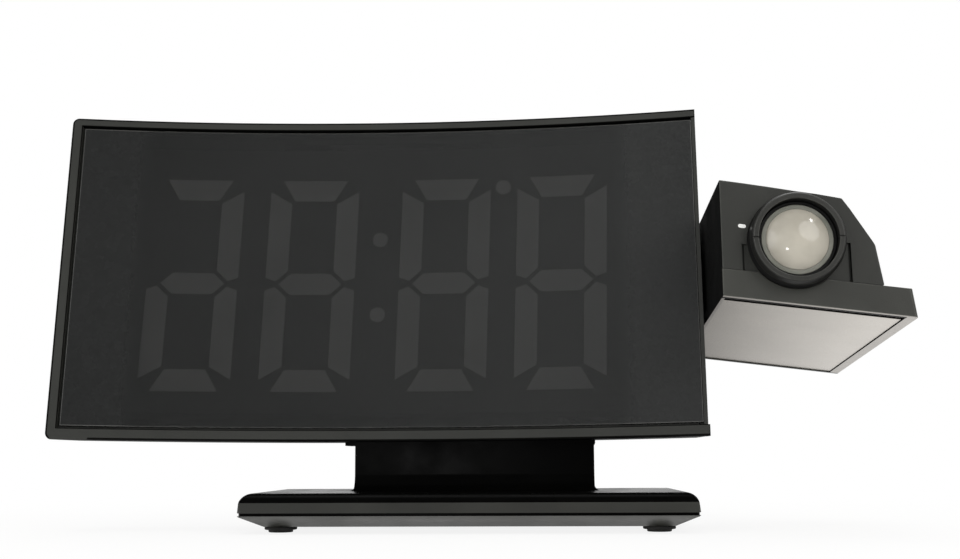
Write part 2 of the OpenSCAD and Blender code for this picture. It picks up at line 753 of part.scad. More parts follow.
dots = [[digit_shift + 0.8, digit_foot + digit_h * 0.711], [digit_shift + 0.4, digit_foot + digit_h * 0.355]];
alarm_dot_place = [digit_left(3) - 3.6, digit_foot + digit_h - 3];

// Prism of a segment through the depth of the display
module segment_prism(i, pts) translate([0, display_board_y, 0]) rotate([90, 0, 0])
  linear_extrude(display_board_y - front_at_side + 2) polygon([for (p = pts) leaned(i, p)]);
module dot_prism(p) along_y(p[0], p[1], [front_at_side - 2, display_board_y], dot_d / 2);

module diffuser_sheet()
  arc_band(around(0, reflector_half_w), [reflector_front, reflector_front + diffuser_t], reflector_z);

module diffusers(i) color("#4a4a48") in_display() intersection() {
  diffuser_sheet();
  for (pts = digit_segments[i]) segment_prism(i, pts);
}
module hour_tens_segments() diffusers(0);
module hour_units_segments() diffusers(1);
module minute_tens_segments() diffusers(2);
module minute_units_segments() diffusers(3);
module dot_diffusers(places) color("#4a4a48") in_display() intersection() {
  diffuser_sheet();
  for (p = places) dot_prism(p);
}
module colon_dots() dot_diffusers(dots);
module alarm_dot() dot_diffusers([alarm_dot_place]);

module digit_reflector() color("#232323") in_display() difference() {
  arc_to_flat([-reflector_half_w, reflector_half_w], reflector_front, display_board_y - seam_gap,
              reflector_z);
  for (i = [0 : 3], pts = digit_segments[i]) translate([0, 0.5, 0]) segment_prism(i, pts);
  for (p = concat(dots, [alarm_dot_place])) translate([0, 0.5, 0]) dot_prism(p);
}

module led(p)
  box(around(p[0], led_w / 2), [display_board_y - led_h, display_board_y], around(p[1], led_w / 3.5));
module segment_leds() color("#e8e2c8") in_display() {
  for (i = [0 : 3], pts = digit_segments[i]) led(leaned(i, middle_of(pts)));
  for (p = concat(dots, [alarm_dot_place])) led(p);
}

// ---- Boards ----

module display_board() color("#1f4d33") in_display() difference() {
  box([-display_board_half_w, display_board_half_w], [display_board_y, display_board_back], display_board_z);
  for (p = display_posts)
    along_y(p[0], p[1], [display_board_y - 1, display_board_back + 1], screw_d / 2 + fit);
}
header_w = 24;
header_t = 2.5;
module board_header() color("#111111") in_display()
  box(around(0, header_w / 2), [display_board_back, main_board_y], around(display_h * 0.565, header_t / 2));
module main_board() color("#1f4d33") in_display() difference() {
  box([-main_board_w / 2, main_board_w / 2], [main_board_y, main_board_back], main_board_z);
  for (p = main_posts)
    along_y(p[0], p[1], [main_board_y - 1, main_board_back + 1], screw_d / 2 + fit);
}
// Width, height along the board, and height off the board of its chips and its crystal
clock_chip = [14, 14, 1.8];
driver_chip = [10, 6, 1.6];
crystal = [11, 4, 3.2];
capacitor = [7.2, 7.5];
// A part of the main board, at a share of the board's width and of the face's height
module on_board(part, at) {
  x = around(at[0] * main_board_w, part[0] / 2);
  box(x, [main_board_y - part[2], main_board_y], around(at[1] * display_h, part[1] / 2));
}
module board_chips() color("#17181a") in_display() {
  on_board(clock_chip, [-0.21, 0.4]);
  on_board(driver_chip, [0.1, 0.39]);
  on_board(crystal, [-0.255, 0.665]);
  y = [main_board_y - capacitor[1], main_board_y];
  for (at = [0.21, 0.325]) along_y(at * main_board_w, 0.24 * display_h, y, capacitor[0] / 2);
}
module button_switches() color("#8d8f92") in_display() {
  for (x = key_x) {
    box(around(x, switch_w / 2), [main_board_back, switch_top_y], around(key_z, switch_w / 2));
    along_y(x, key_z, [switch_top_y - 0.1, switch_top_y + plunger_h], 1.6);
  }
  box(around(0, switch_w / 2), [main_board_y - switch_h, main_board_y],
      [snooze_switch_z - switch_w - 1, snooze_switch_z]);
  translate([0, main_board_y - switch_h / 2, 0])
    rod(1.3, [snooze_switch_z - 0.1, snooze_switch_z + plunger_h]);
}

// ---- Keys ----

module rear_button(i) color("#262626") in_display() {
  intersection() {
    along_y(key_x[i], key_z, [key_front_y, display_d + 5], key_d / 2);
    ahead_of(display_d + key_proud, [0, display_h]);
  }
  intersection() {
    along_y(key_x[i], key_z, [key_front_y, display_d], key_d / 2 + key_flange);
    ahead_of(inner_deep - flange_gap, [0, display_h]);
  }
}
module set_button() rear_button(0);
module alarm_button() rear_button(1);
module up_button() rear_button(2);
module down_button() rear_button(3);
module projection_button() rear_button(4);

module snooze_bar() color("#2e2e2e") in_display() {
  under = display_h - case_wall - flange_gap;
  box(around(0, snooze_l / 2), around(snooze_y, snooze_w / 2), [under - snooze_t, display_h + key_proud]);
  box(around(0, snooze_l / 2 + key_flange), around(snooze_y, snooze_w / 2 + key_flange),
      [under - snooze_t, under]);
  box(around(0, snooze_stem_w / 2), [main_board_y - switch_h, main_board_y - 0.2],
      [snooze_switch_z + plunger_h + key_travel + 0.1, under - 1]);
}

// ---- Speaker, sockets and battery ----

module speaker_frame() color("#55585c") in_display() difference() {
  union() {
    along_y(speaker_x, speaker_z, [speaker_ring_y, speaker_front_y], speaker_d / 2);
    along_y(speaker_x, speaker_z, [speaker_ring_y - magnet_h, speaker_ring_y + 0.1], magnet_d / 2);
  }
  along_y(speaker_x, speaker_z, [speaker_ring_y + 2, speaker_front_y + 1], speaker_d / 2 - 1.5);
}
module speaker_cone() color("#2a2622") in_display()
  translate([speaker_x, speaker_ring_y + 2, speaker_z]) rotate([-90, 0, 0]) difference() {
    cylinder(r1 = 4, r2 = speaker_d / 2 - 1.6, h = 2.2, $fn = ring_fn);
    translate([0, 0, 0.5]) cylinder(r1 = 4, r2 = speaker_d / 2 - 1.6, h = 2.2, $fn = ring_fn);
  }

inlet_nose_r = 3.8;
inlet_bore_r = 2.75;
inlet_w = 9;
port_w = 13.2;
port_h = 5.8;
port_wall = 0.4;
module power_inlet() color("#121212") in_display() {
  nose_end = arc_y(inlet_x, display_d) - 0.4;
  block_end = arc_y(abs(inlet_x) + inlet_w / 2, inner_deep) - 0.1;
  difference() {
    union() {
      box(around(inlet_x, inlet_w / 2), [main_board_back, block_end], around(socket_z, inlet_w / 2));
      along_y(inlet_x, socket_z, [main_board_back, nose_end], inlet_nose_r);
    }
    along_y(inlet_x, socket_z, [main_board_back + 1.5, display_d + 2], inlet_bore_r);
  }
  along_y(inlet_x, socket_z, [main_board_back + 1, nose_end - 1.2], 0.75);
}
module charging_port() color("silver") in_display() {
  port_end = arc_y(abs(port_x) + port_w / 2, display_d) - 0.3;
  difference() {
    box(around(port_x, port_w / 2), [main_board_back, port_end], around(socket_z, port_h / 2));
    box(around(port_x, port_w / 2 - port_wall), [main_board_back + 1.2, port_end + 1],
        around(socket_z, port_h / 2 - port_wall));
  }
  // tongue
  box(around(port_x, port_w / 2 - 1), [main_board_back + 1, port_end - 1], around(socket_z + 1.1, 0.9));
}

module battery_cap() color("#1d1d1c") in_display() at_cap(cap_y) difference() {
  // the rim that bears on the cell ends here
  cell_top = cell_y + cell_t + 0.15 - cap_y;
  union() {
    cylinder(r = cup_r - key_gap, h = cap_t, $fn = ring_fn);
    translate([0, 0, cell_top]) tube(cell_d / 2 - 2, cell_d / 2 - 4, 0.15 - cell_top);
    for (side = [0, 180]) rotate([0, 0, side - lug_angle / 2]) translate([0, 0, -lug_h])
      rotate_extrude(angle = lug_angle, $fn = ring_fn)
        translate([cup_r - 1.5, 0]) square([lug_r - cup_r + 1.5, lug_h]);
    translate([0, 0, -lug_h - 0.1]) tube(cup_r - key_gap, cup_r - 2.5, lug_h + 0.2);
  }
  // coin slot
  translate([-cup_r * 0.55, -1, cap_t - 1]) cube([cup_r * 1.1, 2, 2]);
}
module coin_cell() color("silver") in_display() {
  along_y(cell_x, cell_z, [cell_y, cell_y + 0.5], cell_d / 2 - 1.4);
  along_y(cell_x, cell_z, [cell_y + 0.4, cell_y + cell_t], cell_d / 2);
}
leaf_t = 0.4;
leaf_w = 5;
// A leaf under the cell and one at its rim
module cell_contacts() color("gold") in_display() {
  box(around(cell_x, 7), [cup_floor_y, cup_floor_y + leaf_t], around(cell_z, leaf_w / 2));
  box(around(cell_x, 3), [cup_floor_y + leaf_t / 2, cell_y], around(cell_z, leaf_w / 2));
  box(around(cell_x, leaf_w / 2), [cup_floor_y, cell_y + cell_t - 0.6],
      around(cell_z + cell_d / 2 + leaf_t / 2 + 0.05, leaf_t / 2));
}

// ---- Axle between the clock and the head ----

head_side_wall = 1.8;
axle_r = axle_d / 2;
bush_flange_r = bush_d / 2 + 2.2;
washer_t = 0.8;
clip_t = 1;
clip_groove = 0.8;
axle_start_x = hub_x - washer_t - clip_t - 1.2;
axle_flange_t = 1.5;
axle_flange_r = bush_flange_r + 0.6;
axle_screw_r = bush_flange_r - 1.6;
axle_screw_d = 1.6;
stop_pin_r = 0.7;
stop_pin_at = bush_flange_r - 1.3;
stop_pin_h = 0.9;
stop_angle = 90;
axle_screw_places = [for (a = [140, 220])
  [axle_screw_r * cos(stop_angle + a), axle_screw_r * sin(stop_angle + a)]];
// Half angle that the pin's own width takes of its slot
stop_margin = asin((stop_pin_r + fit) / stop_pin_at);

module axle_bush() color("#3b3b3a") in_display() difference() {
  union() {
    along_x(axle_y, axle_z, [hub_x, right_x + fit], bush_d / 2);
    along_x(axle_y, axle_z, [right_x, head_x - face_gap], bush_flange_r);
    along_x(axle_y + stop_pin_at * cos(stop_angle), axle_z + stop_pin_at * sin(stop_angle),
            [right_x, head_x + stop_pin_h], stop_pin_r);
  }
  along_x(axle_y, axle_z, [hub_x - 1, head_x + 2], axle_r + axle_clearance);
}

module head_axle() color("#3f4144") in_head() difference() {
  union() {
    along_x(0, 0, [axle_start_x, head_x + head_side_wall + axle_flange_t], axle_r);
    along_x(0, 0, [head_x + head_side_wall, head_x + head_side_wall + axle_flange_t], axle_flange_r);
  }
  along_x(0, 0, [axle_start_x - 1, head_x + 9], axle_bore_d / 2);
  // groove of the clip
  difference() {
    along_x(0, 0, [hub_x - washer_t - clip_t - 0.05, hub_x - washer_t], axle_r + 1);
    along_x(0, 0, [0, head_x], axle_r - clip_groove);
  }
  for (p = axle_screw_places) along_x(p[0], p[1], [head_x, head_x + 9], axle_screw_d / 2 + fit);
}

module friction_washer() color("#9a9c9e") in_display() difference() {
  along_x(axle_y, axle_z, [hub_x - washer_t + 0.02, hub_x - 0.02], bush_d / 2 + 1.2);
  along_x(axle_y, axle_z, [0, head_x], axle_r + 0.3);
}
module axle_clip() color("#9a9c9e") in_head() difference() {
  along_x(0, 0, [hub_x - washer_t - clip_t, hub_x - washer_t - 0.03], axle_r + 2.4);
  along_x(0, 0, [0, head_x], axle_r - clip_groove + 0.05);
  box([0, head_x], [-1.8, 1.8], [0, axle_r + 4]);
}
module axle_screws() color("silver") in_head() for (p = axle_screw_places)
  translate([head_x + head_side_wall + axle_flange_t, p[0], p[1]]) rotate([0, -90, 0])
    screw(axle_screw_d, 1.75 * axle_screw_d, 0.9, axle_flange_t + head_side_wall - 0.5);

// ---- Projector head, in its closed place: plate to the front, lens up, axle at y = 0 and z = 0 ----

skew = tan(head_skew);
lens_cx = head_x + lens_x;
lens_cy = -lens_y;
plate_set = 0.3;
tray_deep = plate_set + plate_t + 1.4;
lens_wall = 2.3;
lens_recess = 0.8;
field_half_w = ring_d / 2 + 1.7;
field_slit_w = 0.6;
field_slit_deep = 1.5;
head_z = [-half_h, half_h];
head_in_z = [-half_h + head_wall, half_h - lens_wall];
shell_mid_y = -1.9;
function front_line(x, deep) = plate_front + deep - (x - head_x) * skew;
function head_back_y(x, deep) = arc_y(x, deep) - axle_y;

// A slab parallel to the silver plate
module skew_slab(x, deep, z) translate([0, 0, z[0]]) linear_extrude(z[1] - z[0])
  polygon([[x[0], front_line(x[0], deep[0])], [x[1], front_line(x[1], deep[0])],
           [x[1], front_line(x[1], deep[1])], [x[0], front_line(x[0], deep[1])]]);

// Plan of the shell: square at the axle's side, slanting in at the far side
module shell_prism(inset, x0, z) {
  xb = head_x + shell_back_w - inset;
  xf = head_x + shell_front_w - inset;
  deep = display_d - inset;
  yb = head_back_y(xb, deep);
  c = shell_edge_r;
  intersection() {
    translate([0, 0, z[0]]) linear_extrude(z[1] - z[0])
      polygon([[x0, front_line(x0, head_frame_t)], [xf, front_line(xf, head_frame_t)],
               [head_x + shell_mid_w - inset, shell_mid_y],
               [xb + 0.36 * c, yb - 0.93 * c], [xb - c * 0.3, yb + 0.1], [xb - c, yb + 1], [x0, yb + 9]]);
    translate([0, -axle_y, 0]) ahead_of(deep, z);
  }
}

head_post_end = -5;
head_post_r = 2.6;
head_boss_r = 3.4;
head_seat_y = 1;
head_shank_l = 9;
head_boss_x = [head_x + 5.4, head_x + shell_back_w - 6.4];
head_boss_z = half_h - 7.3;
head_screw_places = [[head_boss_x[0], head_boss_z], for (x = head_boss_x) [x, -head_boss_z]];

module head_frame() color("#333332") in_head() difference() {
  union() {
    difference() {
      translate([0, 0, head_z[0]]) linear_extrude(display_h)
        polygon([[head_x, front_line(head_x, 0)], [head_end_x, front_line(head_end_x, 0)],
                 [head_end_x - 1, front_line(head_end_x - 1, head_frame_t)],
                 [head_x, front_line(head_x, head_frame_t)]]);
      // pocket of the plate, with the open channel at its lens end
      skew_slab(plate_x, [-1, plate_set + plate_t], plate_z + [0, plate_channel]);
      // hollow behind it
      skew_slab([head_x + head_side_wall, head_x + shell_front_w - 2 * head_wall],
                [tray_deep, head_frame_t + 1], [head_in_z[0] + 0.5, head_in_z[1]]);
    }
    for (p = head_screw_places)
      along_y(p[0], p[1], [front_line(p[0], tray_deep - 0.1), head_post_end], head_post_r);
  }
  for (p = head_screw_places)
    along_y(p[0], p[1], [head_seat_y - head_shank_l - 0.3, 0], screw_d / 2 + thread_fit);
  // room for the focus ring and its sleeve
  at_lens(half_h - lens_recess) cylinder(r = ring_d / 2 + ring_gap, h = 2, $fn = ring_fn);
  at_lens(half_h - lens_wall - 1) cylinder(r = hole_r, h = lens_wall + 2, $fn = round_fn);
  stop_slot();
}

plate_x = [head_x + 0.8, head_end_x - plate_margin_far];
plate_z = [-half_h + plate_margin, half_h - plate_margin_lens];
module head_plate() color("#b9b6b2") in_head()
  skew_slab(plate_x + [fit, -fit], [plate_set, plate_set + plate_t], plate_z + [fit, -fit]);

barrel_r = lens_d / 2 + 0.65;
barrel_bore_r = lens_d / 2 - 0.9;
ring_bore_r = barrel_r + 0.3;
sleeve_r = ring_bore_r + 0.7;
lip_r = sleeve_r + 0.55;
hole_r = sleeve_r + fit;
lip_h = 1.2;
ring_z = half_h - lens_recess + face_gap;
lip_z = half_h - lens_wall - 0.15;
guide_top = lip_z - lip_h - 0.3;
guide_z = 16;
guide_r = ring_bore_r + 1.3;
barrel_z = [24, lens_front - 2.6];
light_tube_r = ring_bore_r - 0.3;
light_tube_top = barrel_z[0] - lens_travel - 0.3;
ring_gap = 0.3;
key_rib_w = 1.6;
key_rib_h = 0.7;
web_t = 1.6;
web_reach = 20;
ledge_y = -8;
field_reach = 20;

module at_lens(z = 0) translate([lens_cx, lens_cy, z]) children();

// Curved slot that the bush's pin runs in
module stop_slot() translate([head_x - 1, 0, 0]) rotate([90, 0, 90])
  rotate([0, 0, stop_angle - head_stop - stop_margin])
    rotate_extrude(angle = head_swing + 2 * stop_margin, $fn = ring_fn)
      translate([stop_pin_at - stop_pin_r - 0.2, 0]) square([2 * stop_pin_r + 0.4, 1 + stop_pin_h + 0.2]);

module head_shell() color("#2f2f2e") in_head() difference() {
  union() {
    difference() {
      shell_prism(0, head_x, head_z);
      difference() {
        shell_prism(head_wall, head_x + head_side_wall, head_in_z);
        // screw bosses
        for (p = head_screw_places) along_y(p[0], p[1], [head_post_end, display_d], head_boss_r);
      }
      // open towards the frame
      intersection() {
        skew_slab([head_x + head_side_wall, head_x + shell_front_w - head_wall],
                  around(head_frame_t + 0.5, 1.5), head_in_z);
        shell_prism(head_wall, head_x + head_side_wall, head_in_z);
      }
    }
    // guide of the lens barrel and the webs that carry it
    intersection() {
      shell_prism(0, head_x, head_z);
      union() {
        at_lens(guide_z) cylinder(r = guide_r, h = guide_top - guide_z, $fn = round_fn);
        box([head_x + 1, lens_cx], around(lens_cy, web_t / 2), [guide_z, guide_top]);
        box([lens_cx, head_x + shell_front_w], around(lens_cy, web_t / 2), [guide_z, guide_top]);
        box(around(lens_cx, web_t / 2), [lens_cy, lens_cy + web_reach], [guide_z, guide_top]);
        // ledges under the ends of the lamp's board
        for (s = [-1, 1])
          box(around(lens_cx + s * (lamp_board_w / 2 - 1), 1), [ledge_y, lens_cy + web_reach],
              [lamp_z - 6, lamp_z - seam_gap]);
      }
    }
  }
  at_lens(guide_z - 1) cylinder(r = ring_bore_r, h = guide_top - guide_z + 2, $fn = round_fn);
  box(around(lens_cx, key_rib_w / 2 + 0.2), [lens_cy, lens_cy + ring_bore_r + key_rib_h],
      [guide_z - 1, guide_top + 1]);
  // hole and seat of the focus ring, and the sunk field in front of it with a slit at each side
  at_lens(half_h - lens_wall - 1) cylinder(r = hole_r, h = lens_wall + 2, $fn = round_fn);
  at_lens(half_h - lens_recess) cylinder(r = ring_d / 2 + ring_gap, h = 2, $fn = ring_fn);
  intersection() {
    union() {
      box(around(lens_cx, field_half_w), [lens_cy - field_reach, lens_cy - 0.5],
          [half_h - lens_recess, half_h + 2]);
      for (s = [-1, 1]) box(around(lens_cx + s * (field_half_w - field_slit_w / 2), field_slit_w / 2),
                            [lens_cy - field_reach, lens_cy - 0.5], [half_h - field_slit_deep, half_h]);
    }
    skew_slab([head_x, head_end_x], [head_frame_t, 2 * display_d], [0, half_h + 3]);
  }
  mark_shape([half_h - mark_t, half_h + 1]);
  // axle and its stop
  along_x(0, 0, [head_x - 1, head_x + head_side_wall + 1], axle_r + fit);
  for (p = axle_screw_places)
    along_x(p[0], p[1], [head_x - 0.5, head_x + 9], axle_screw_d / 2 + thread_fit);
  stop_slot();
  for (p = head_screw_places) {
    along_y(p[0], p[1], [head_seat_y, display_d], screw_head_d / 2 + fit);
    along_y(p[0], p[1], [head_post_end - 1, display_d], screw_d / 2 + fit);
    along_y(p[0], p[1], [front_line(p[0], tray_deep), head_post_end + 0.05], head_post_r + fit);
  }
}

module head_screws() color("silver") in_head() for (p = head_screw_places)
  translate([p[0], head_seat_y, p[1]]) rotate([90, 0, 0])
    screw(screw_d, screw_head_d, casing_head_h, head_shank_l);

// ---- Lens, ring and lamp ----

ring_bevel = 0.7;
ring_bevel_h = 2;
pointer_w = 0.6;
pointer_h = 0.4;
module focus_ring() color("#262625") in_head() at_lens() difference() {
  union() {
    translate([0, 0, ring_z]) cylinder(d = ring_d, h = lens_front - ring_bevel_h - ring_z, $fn = ring_fn);
    translate([0, 0, lens_front - ring_bevel_h])
      cylinder(d1 = ring_d, d2 = ring_d - 2 * ring_bevel, h = ring_bevel_h, $fn = ring_fn);
    rod(sleeve_r, [lip_z - lip_h, ring_z + 0.1]);
    rod(lip_r, [lip_z - lip_h, lip_z]);
  }
  rod(ring_bore_r, [guide_top, reach]);
  // pointer lines at both sides
  box(around(0, ring_d), around(0, pointer_w / 2), [lens_front - pointer_h, lens_front + 1]);
}

mark_t = 0.4;
mark_l = 2.1;
mark_w = 1;
// Small tick with round ends, a little aslant
module mark_shape(z) translate([lens_cx - ring_d / 2 - 1.4, lens_cy + 4.4, 0]) rotate([0, 0, -9]) {
  half_l = (mark_l - mark_w) / 2;
  box(around(0, half_l), around(0, mark_w / 2), z);
  for (s = [-1, 1]) translate([s * half_l, 0, 0]) rod(mark_w / 2, z);
}
module index_mark() color("white") in_head() mark_shape([half_h - mark_t, half_h + 0.02]);

module lens_barrel() color("#1a1a1a") in_head() at_lens() difference() {
  union() {
    rod(barrel_r, barrel_z);
    box(around(0, key_rib_w / 2), [barrel_r - 1, barrel_r + key_rib_h], around(barrel_z[0] + 5, 4));
  }
  rod(barrel_bore_r, [barrel_z[0] - 1, reach]);
  rod(lens_d / 2 + thread_fit, [lens_seat_z, reach]);
}

lens_edge_t = 2;
lens_seat_z = barrel_z[1] - 0.2 - lens_edge_t;
// Disc with a domed top
module domed_disc(r, edge_t, dome) {
  ball_r = (r * r + dome * dome) / (2 * dome);
  rod(r, [0, edge_t]);
  intersection() {
    translate([0, 0, edge_t + dome - ball_r]) sphere(r = ball_r, $fn = ring_fn);
    rod(r, [edge_t - 0.05, edge_t + dome + 1]);
  }
}
module projector_lens() color("#c9c6b8") in_head() at_lens(lens_seat_z)
  domed_disc(lens_d / 2, lens_edge_t, lens_dome);

// Lead of the projector lamp, along the axle's own axis
connector_w = 4;
connector_x = board_post_x + 2.4;
lamp_z = -4;
lamp_board_w = 25.2;
lamp_board_d = 16.4;
lamp_board_top = lamp_z + board_t;
lamp_plug_x = lens_cx - light_tube_r - 2.2;
module lead_connector() color("#d8d4c8") in_display()
  box([connector_x - connector_w, connector_x], [axle_y - 2, display_board_y], around(axle_z, 2.4));
module lamp_lead() color("#8c1c1c") in_display()
  along_x(axle_y, axle_z, [connector_x, lamp_plug_x], lead_d / 2);
module lamp_connector() color("#d8d4c8") in_head()
  box([lamp_plug_x, lamp_plug_x + 2], [-2.5, 2.5], [lamp_board_top, 1.8]);

condenser_z = 6;
slide_z = light_tube_top - 1.6;
condenser_r = light_tube_r - 1.8;
slide_r = light_tube_r - 1;
module light_tube() color("#202020") in_head() at_lens() difference() {
  rod(light_tube_r, [lamp_board_top, light_tube_top]);
  rod(condenser_r - 0.8, [lamp_board_top - 1, reach]);
  rod(condenser_r, [condenser_z, reach]);
  rod(slide_r, [slide_z, reach]);
}
module condenser_lens() color("#dfe3e4") in_head() at_lens(condenser_z)
  domed_disc(condenser_r - thread_fit, 1.6, 2);
module image_slide() color("#4b4f58") in_head() at_lens() rod(slide_r - thread_fit, [slide_z, slide_z + 0.8]);
module lamp_board() color("#1f4d33") in_head()
  box(around(lens_cx, lamp_board_w / 2), around(lens_cy - 2, lamp_board_d / 2), [lamp_z, lamp_board_top]);
lamp_chip_w = 5;
module lamp_led() color("#efe6c0") in_head() at_lens(lamp_board_top) {
  translate([-lamp_chip_w / 2, -lamp_chip_w / 2, 0]) cube([lamp_chip_w, lamp_chip_w, 1]);
  translate([0, 0, 0.9]) domed_disc(1.9, 0.3, 1.2);
}
fins = 5;
fin_t = 1.4;
sink_w = 20;
sink_d = 17.6;
sink_h = 8;
module heat_sink() color("#a9adb0") in_head() {
  y = around(lens_cy - 0.5, sink_d / 2);
  fin_pitch = (sink_w - fin_t) / (fins - 1);
  box(around(lens_cx, sink_w / 2), y, [lamp_z - 2, lamp_z]);
  for (i = [0 : fins - 1])
    box(around(lens_cx + (i - (fins - 1) / 2) * fin_pitch, fin_t / 2), y, [lamp_z - sink_h, lamp_z - 1.9]);
}

stand_body();
base_cover();
rubber_feet();
base_screws();
neck_screws();
front_frame();
screen_lens();
digit_reflector();
hour_tens_segments();
hour_units_segments();
minute_tens_segments();
minute_units_segments();
colon_dots();
alarm_dot();
segment_leds();
display_board();
board_header();
main_board();
board_chips();
button_switches();
board_screws();
rear_cover();
housing_screws();
snooze_bar();
set_button();
alarm_button();
up_button();
down_button();
projection_button();
speaker_frame();
speaker_cone();
power_inlet();
charging_port();
battery_cap();
coin_cell();
cell_contacts();
axle_bush();
head_axle();
friction_washer();
axle_clip();
axle_screws();
lead_connector();
lamp_lead();
lamp_connector();
head_frame();
head_plate();
head_shell();
head_screws();
focus_ring();
index_mark();
lens_barrel();
projector_lens();
light_tube();
image_slide();
condenser_lens();
lamp_board();
lamp_led();
heat_sink();
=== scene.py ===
import json
from math import copysign, cos, hypot, pi, radians, sin, sqrt, tan

import bmesh
import bpy
from mathutils import Matrix, Vector

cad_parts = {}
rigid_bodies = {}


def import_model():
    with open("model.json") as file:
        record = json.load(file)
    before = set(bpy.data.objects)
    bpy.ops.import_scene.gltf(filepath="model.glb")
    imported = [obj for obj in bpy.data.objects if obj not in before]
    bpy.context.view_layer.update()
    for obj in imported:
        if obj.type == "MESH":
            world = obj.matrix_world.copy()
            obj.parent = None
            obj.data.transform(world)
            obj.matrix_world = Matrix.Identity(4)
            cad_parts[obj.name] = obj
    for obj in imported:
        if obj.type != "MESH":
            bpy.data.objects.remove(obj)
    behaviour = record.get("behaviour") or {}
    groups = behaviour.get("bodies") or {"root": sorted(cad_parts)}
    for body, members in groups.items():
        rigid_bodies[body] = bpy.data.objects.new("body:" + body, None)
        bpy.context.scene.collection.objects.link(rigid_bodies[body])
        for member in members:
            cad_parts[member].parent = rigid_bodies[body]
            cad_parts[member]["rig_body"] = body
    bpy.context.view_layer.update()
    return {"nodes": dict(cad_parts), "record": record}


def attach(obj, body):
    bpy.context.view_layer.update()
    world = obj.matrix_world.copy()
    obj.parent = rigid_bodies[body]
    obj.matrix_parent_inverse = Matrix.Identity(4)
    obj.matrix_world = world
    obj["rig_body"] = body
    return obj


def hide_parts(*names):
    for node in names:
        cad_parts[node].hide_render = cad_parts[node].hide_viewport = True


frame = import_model()
NODES = frame["nodes"]
BODIES = {n: o["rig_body"] for n, o in NODES.items()}
SLOTS = {s["node"]: s["material_slot"] for s in frame["record"]["subparts"]}

# ---- The source's sizes and coordinates, in millimetres ----
# The display's: x from its middle, y into the depth, z up its face from the lower edge.
# The head's: the same x, with y and z about its axle, in the closed place.

ORIGIN = (25.85, 12.60149)  # where the row frame's origin lies
LEAN = radians(8.5)  # the clock leans back
TURN = radians(93.5)  # the head in the photograph, from its closed place
LIFT = 25.0  # the display's lower edge above the table
SCREEN_R = 620.0  # the front's hollow curve
HALF_W = 95.0
HEIGHT = 99.5
HALF_H = HEIGHT / 2
DEPTH = 31.8
CORNER_R = 2.0  # the two left corners
SCREEN_SET = 0.4  # the screen behind the frame's front
KEY_PROUD = 1.2
CELL = (-68.0, 26.0)  # the battery cell, x and z
LUG_FLOOR = 4.4  # the bottom of the battery cap's lugs below the casing's back
HEAD_X = 96.1
HEAD_SLOPE = radians(7)
CHANNEL_SHADE_BAND = (46.9, 48.4)  # a band of the frame beside the channel at the upper end of the silver panel, painted black as shade, in the head's z
SHADE_BAND_END = 144.1  # and where it ends, in x
PANEL_END = -48.1  # the panel's other end, in the head's z
RING_FRONT = 54.95  # the focus ring's front, in the head's z
BASE_MIDDLE = (27.6, 7.0)
BASE_HALF = (62.9, 31.0)
ON = 0.2  # a point that is nearer than this to a surface counts as on it


def arc_y(x, deep=0.0):
    return sqrt((SCREEN_R + deep) ** 2 - x * x) - SCREEN_R


AXLE_Y = (arc_y(HALF_W) + arc_y(HALF_W, DEPTH)) / 2 - 1
LENS = (HEAD_X + 19.75, -0.5)  # the projector lens's middle, in the head's x and y


def to_product(p):
    return Vector((p.x * 1000 + ORIGIN[0], p.y * 1000 + ORIGIN[1], p.z * 1000))


def to_display(p):
    q = to_product(p)
    z = q.z - LIFT
    return Vector((q.x, q.y * cos(LEAN) - z * sin(LEAN), q.y * sin(LEAN) + z * cos(LEAN)))


def to_head(p):
    q = to_display(p)
    y, z = q.y - AXLE_Y, q.z - HALF_H
    return Vector((q.x, y * cos(TURN) + z * sin(TURN), -y * sin(TURN) + z * cos(TURN)))


def from_display(q):
    y = q[1] * cos(LEAN) + q[2] * sin(LEAN)
    z = -q[1] * sin(LEAN) + q[2] * cos(LEAN) + LIFT
    return Vector(((q[0] - ORIGIN[0]) / 1000, (y - ORIGIN[1]) / 1000, z / 1000))


def from_head(q):
    return from_display((q[0], AXLE_Y + q[1] * cos(TURN) - q[2] * sin(TURN),
                         HALF_H + q[1] * sin(TURN) + q[2] * cos(TURN)))


def own_normal(where, c, n):
    """The normal n at c, both in the row frame, in the coordinates that where() gives."""
    return (where(c + n * 0.001) - where(c)).normalized()


def depth_of(p):
    """How deep a point of the display lies behind its curved front."""
    return hypot(p.x, p.y + SCREEN_R) - SCREEN_R


def from_lens(p):
    return hypot(p.x - LENS[0], p.y - LENS[1])


def from_cell(p):
    return hypot(p.x - CELL[0], p.z - CELL[1])


# The direction that the projector lens points in, which is the head's z
AXIS = (from_head((0, 0, 1)) - from_head((0, 0, 0))).normalized()

# ---- Shader nodes ----


def node(tree, kind, **values):
    """A new node; each value goes to the input or else to the setting of that name."""
    n = tree.nodes.new(kind)
    for key, value in values.items():
        if key in n.inputs:
            n.inputs[key].default_value = value
        else:
            setattr(n, key, value)
    return n


def feed(tree, slot, value):
    """Gives an input a number, a colour or another node's output."""
    if hasattr(value, "is_output"):
        tree.links.new(value, slot)
    elif isinstance(value, tuple):
        slot.default_value = (*value, 1)
    else:
        slot.default_value = value


def feed_all(tree, target, values):
    for key, value in values.items():
        feed(tree, target.inputs[key], value)


def place_on(tree, kind="Object"):
    return node(tree, "ShaderNodeTexCoord").outputs[kind]


def split(tree, place):
    """The x, y and z of a place."""
    n = node(tree, "ShaderNodeSeparateXYZ")
    tree.links.new(place, n.inputs[0])
    return n.outputs


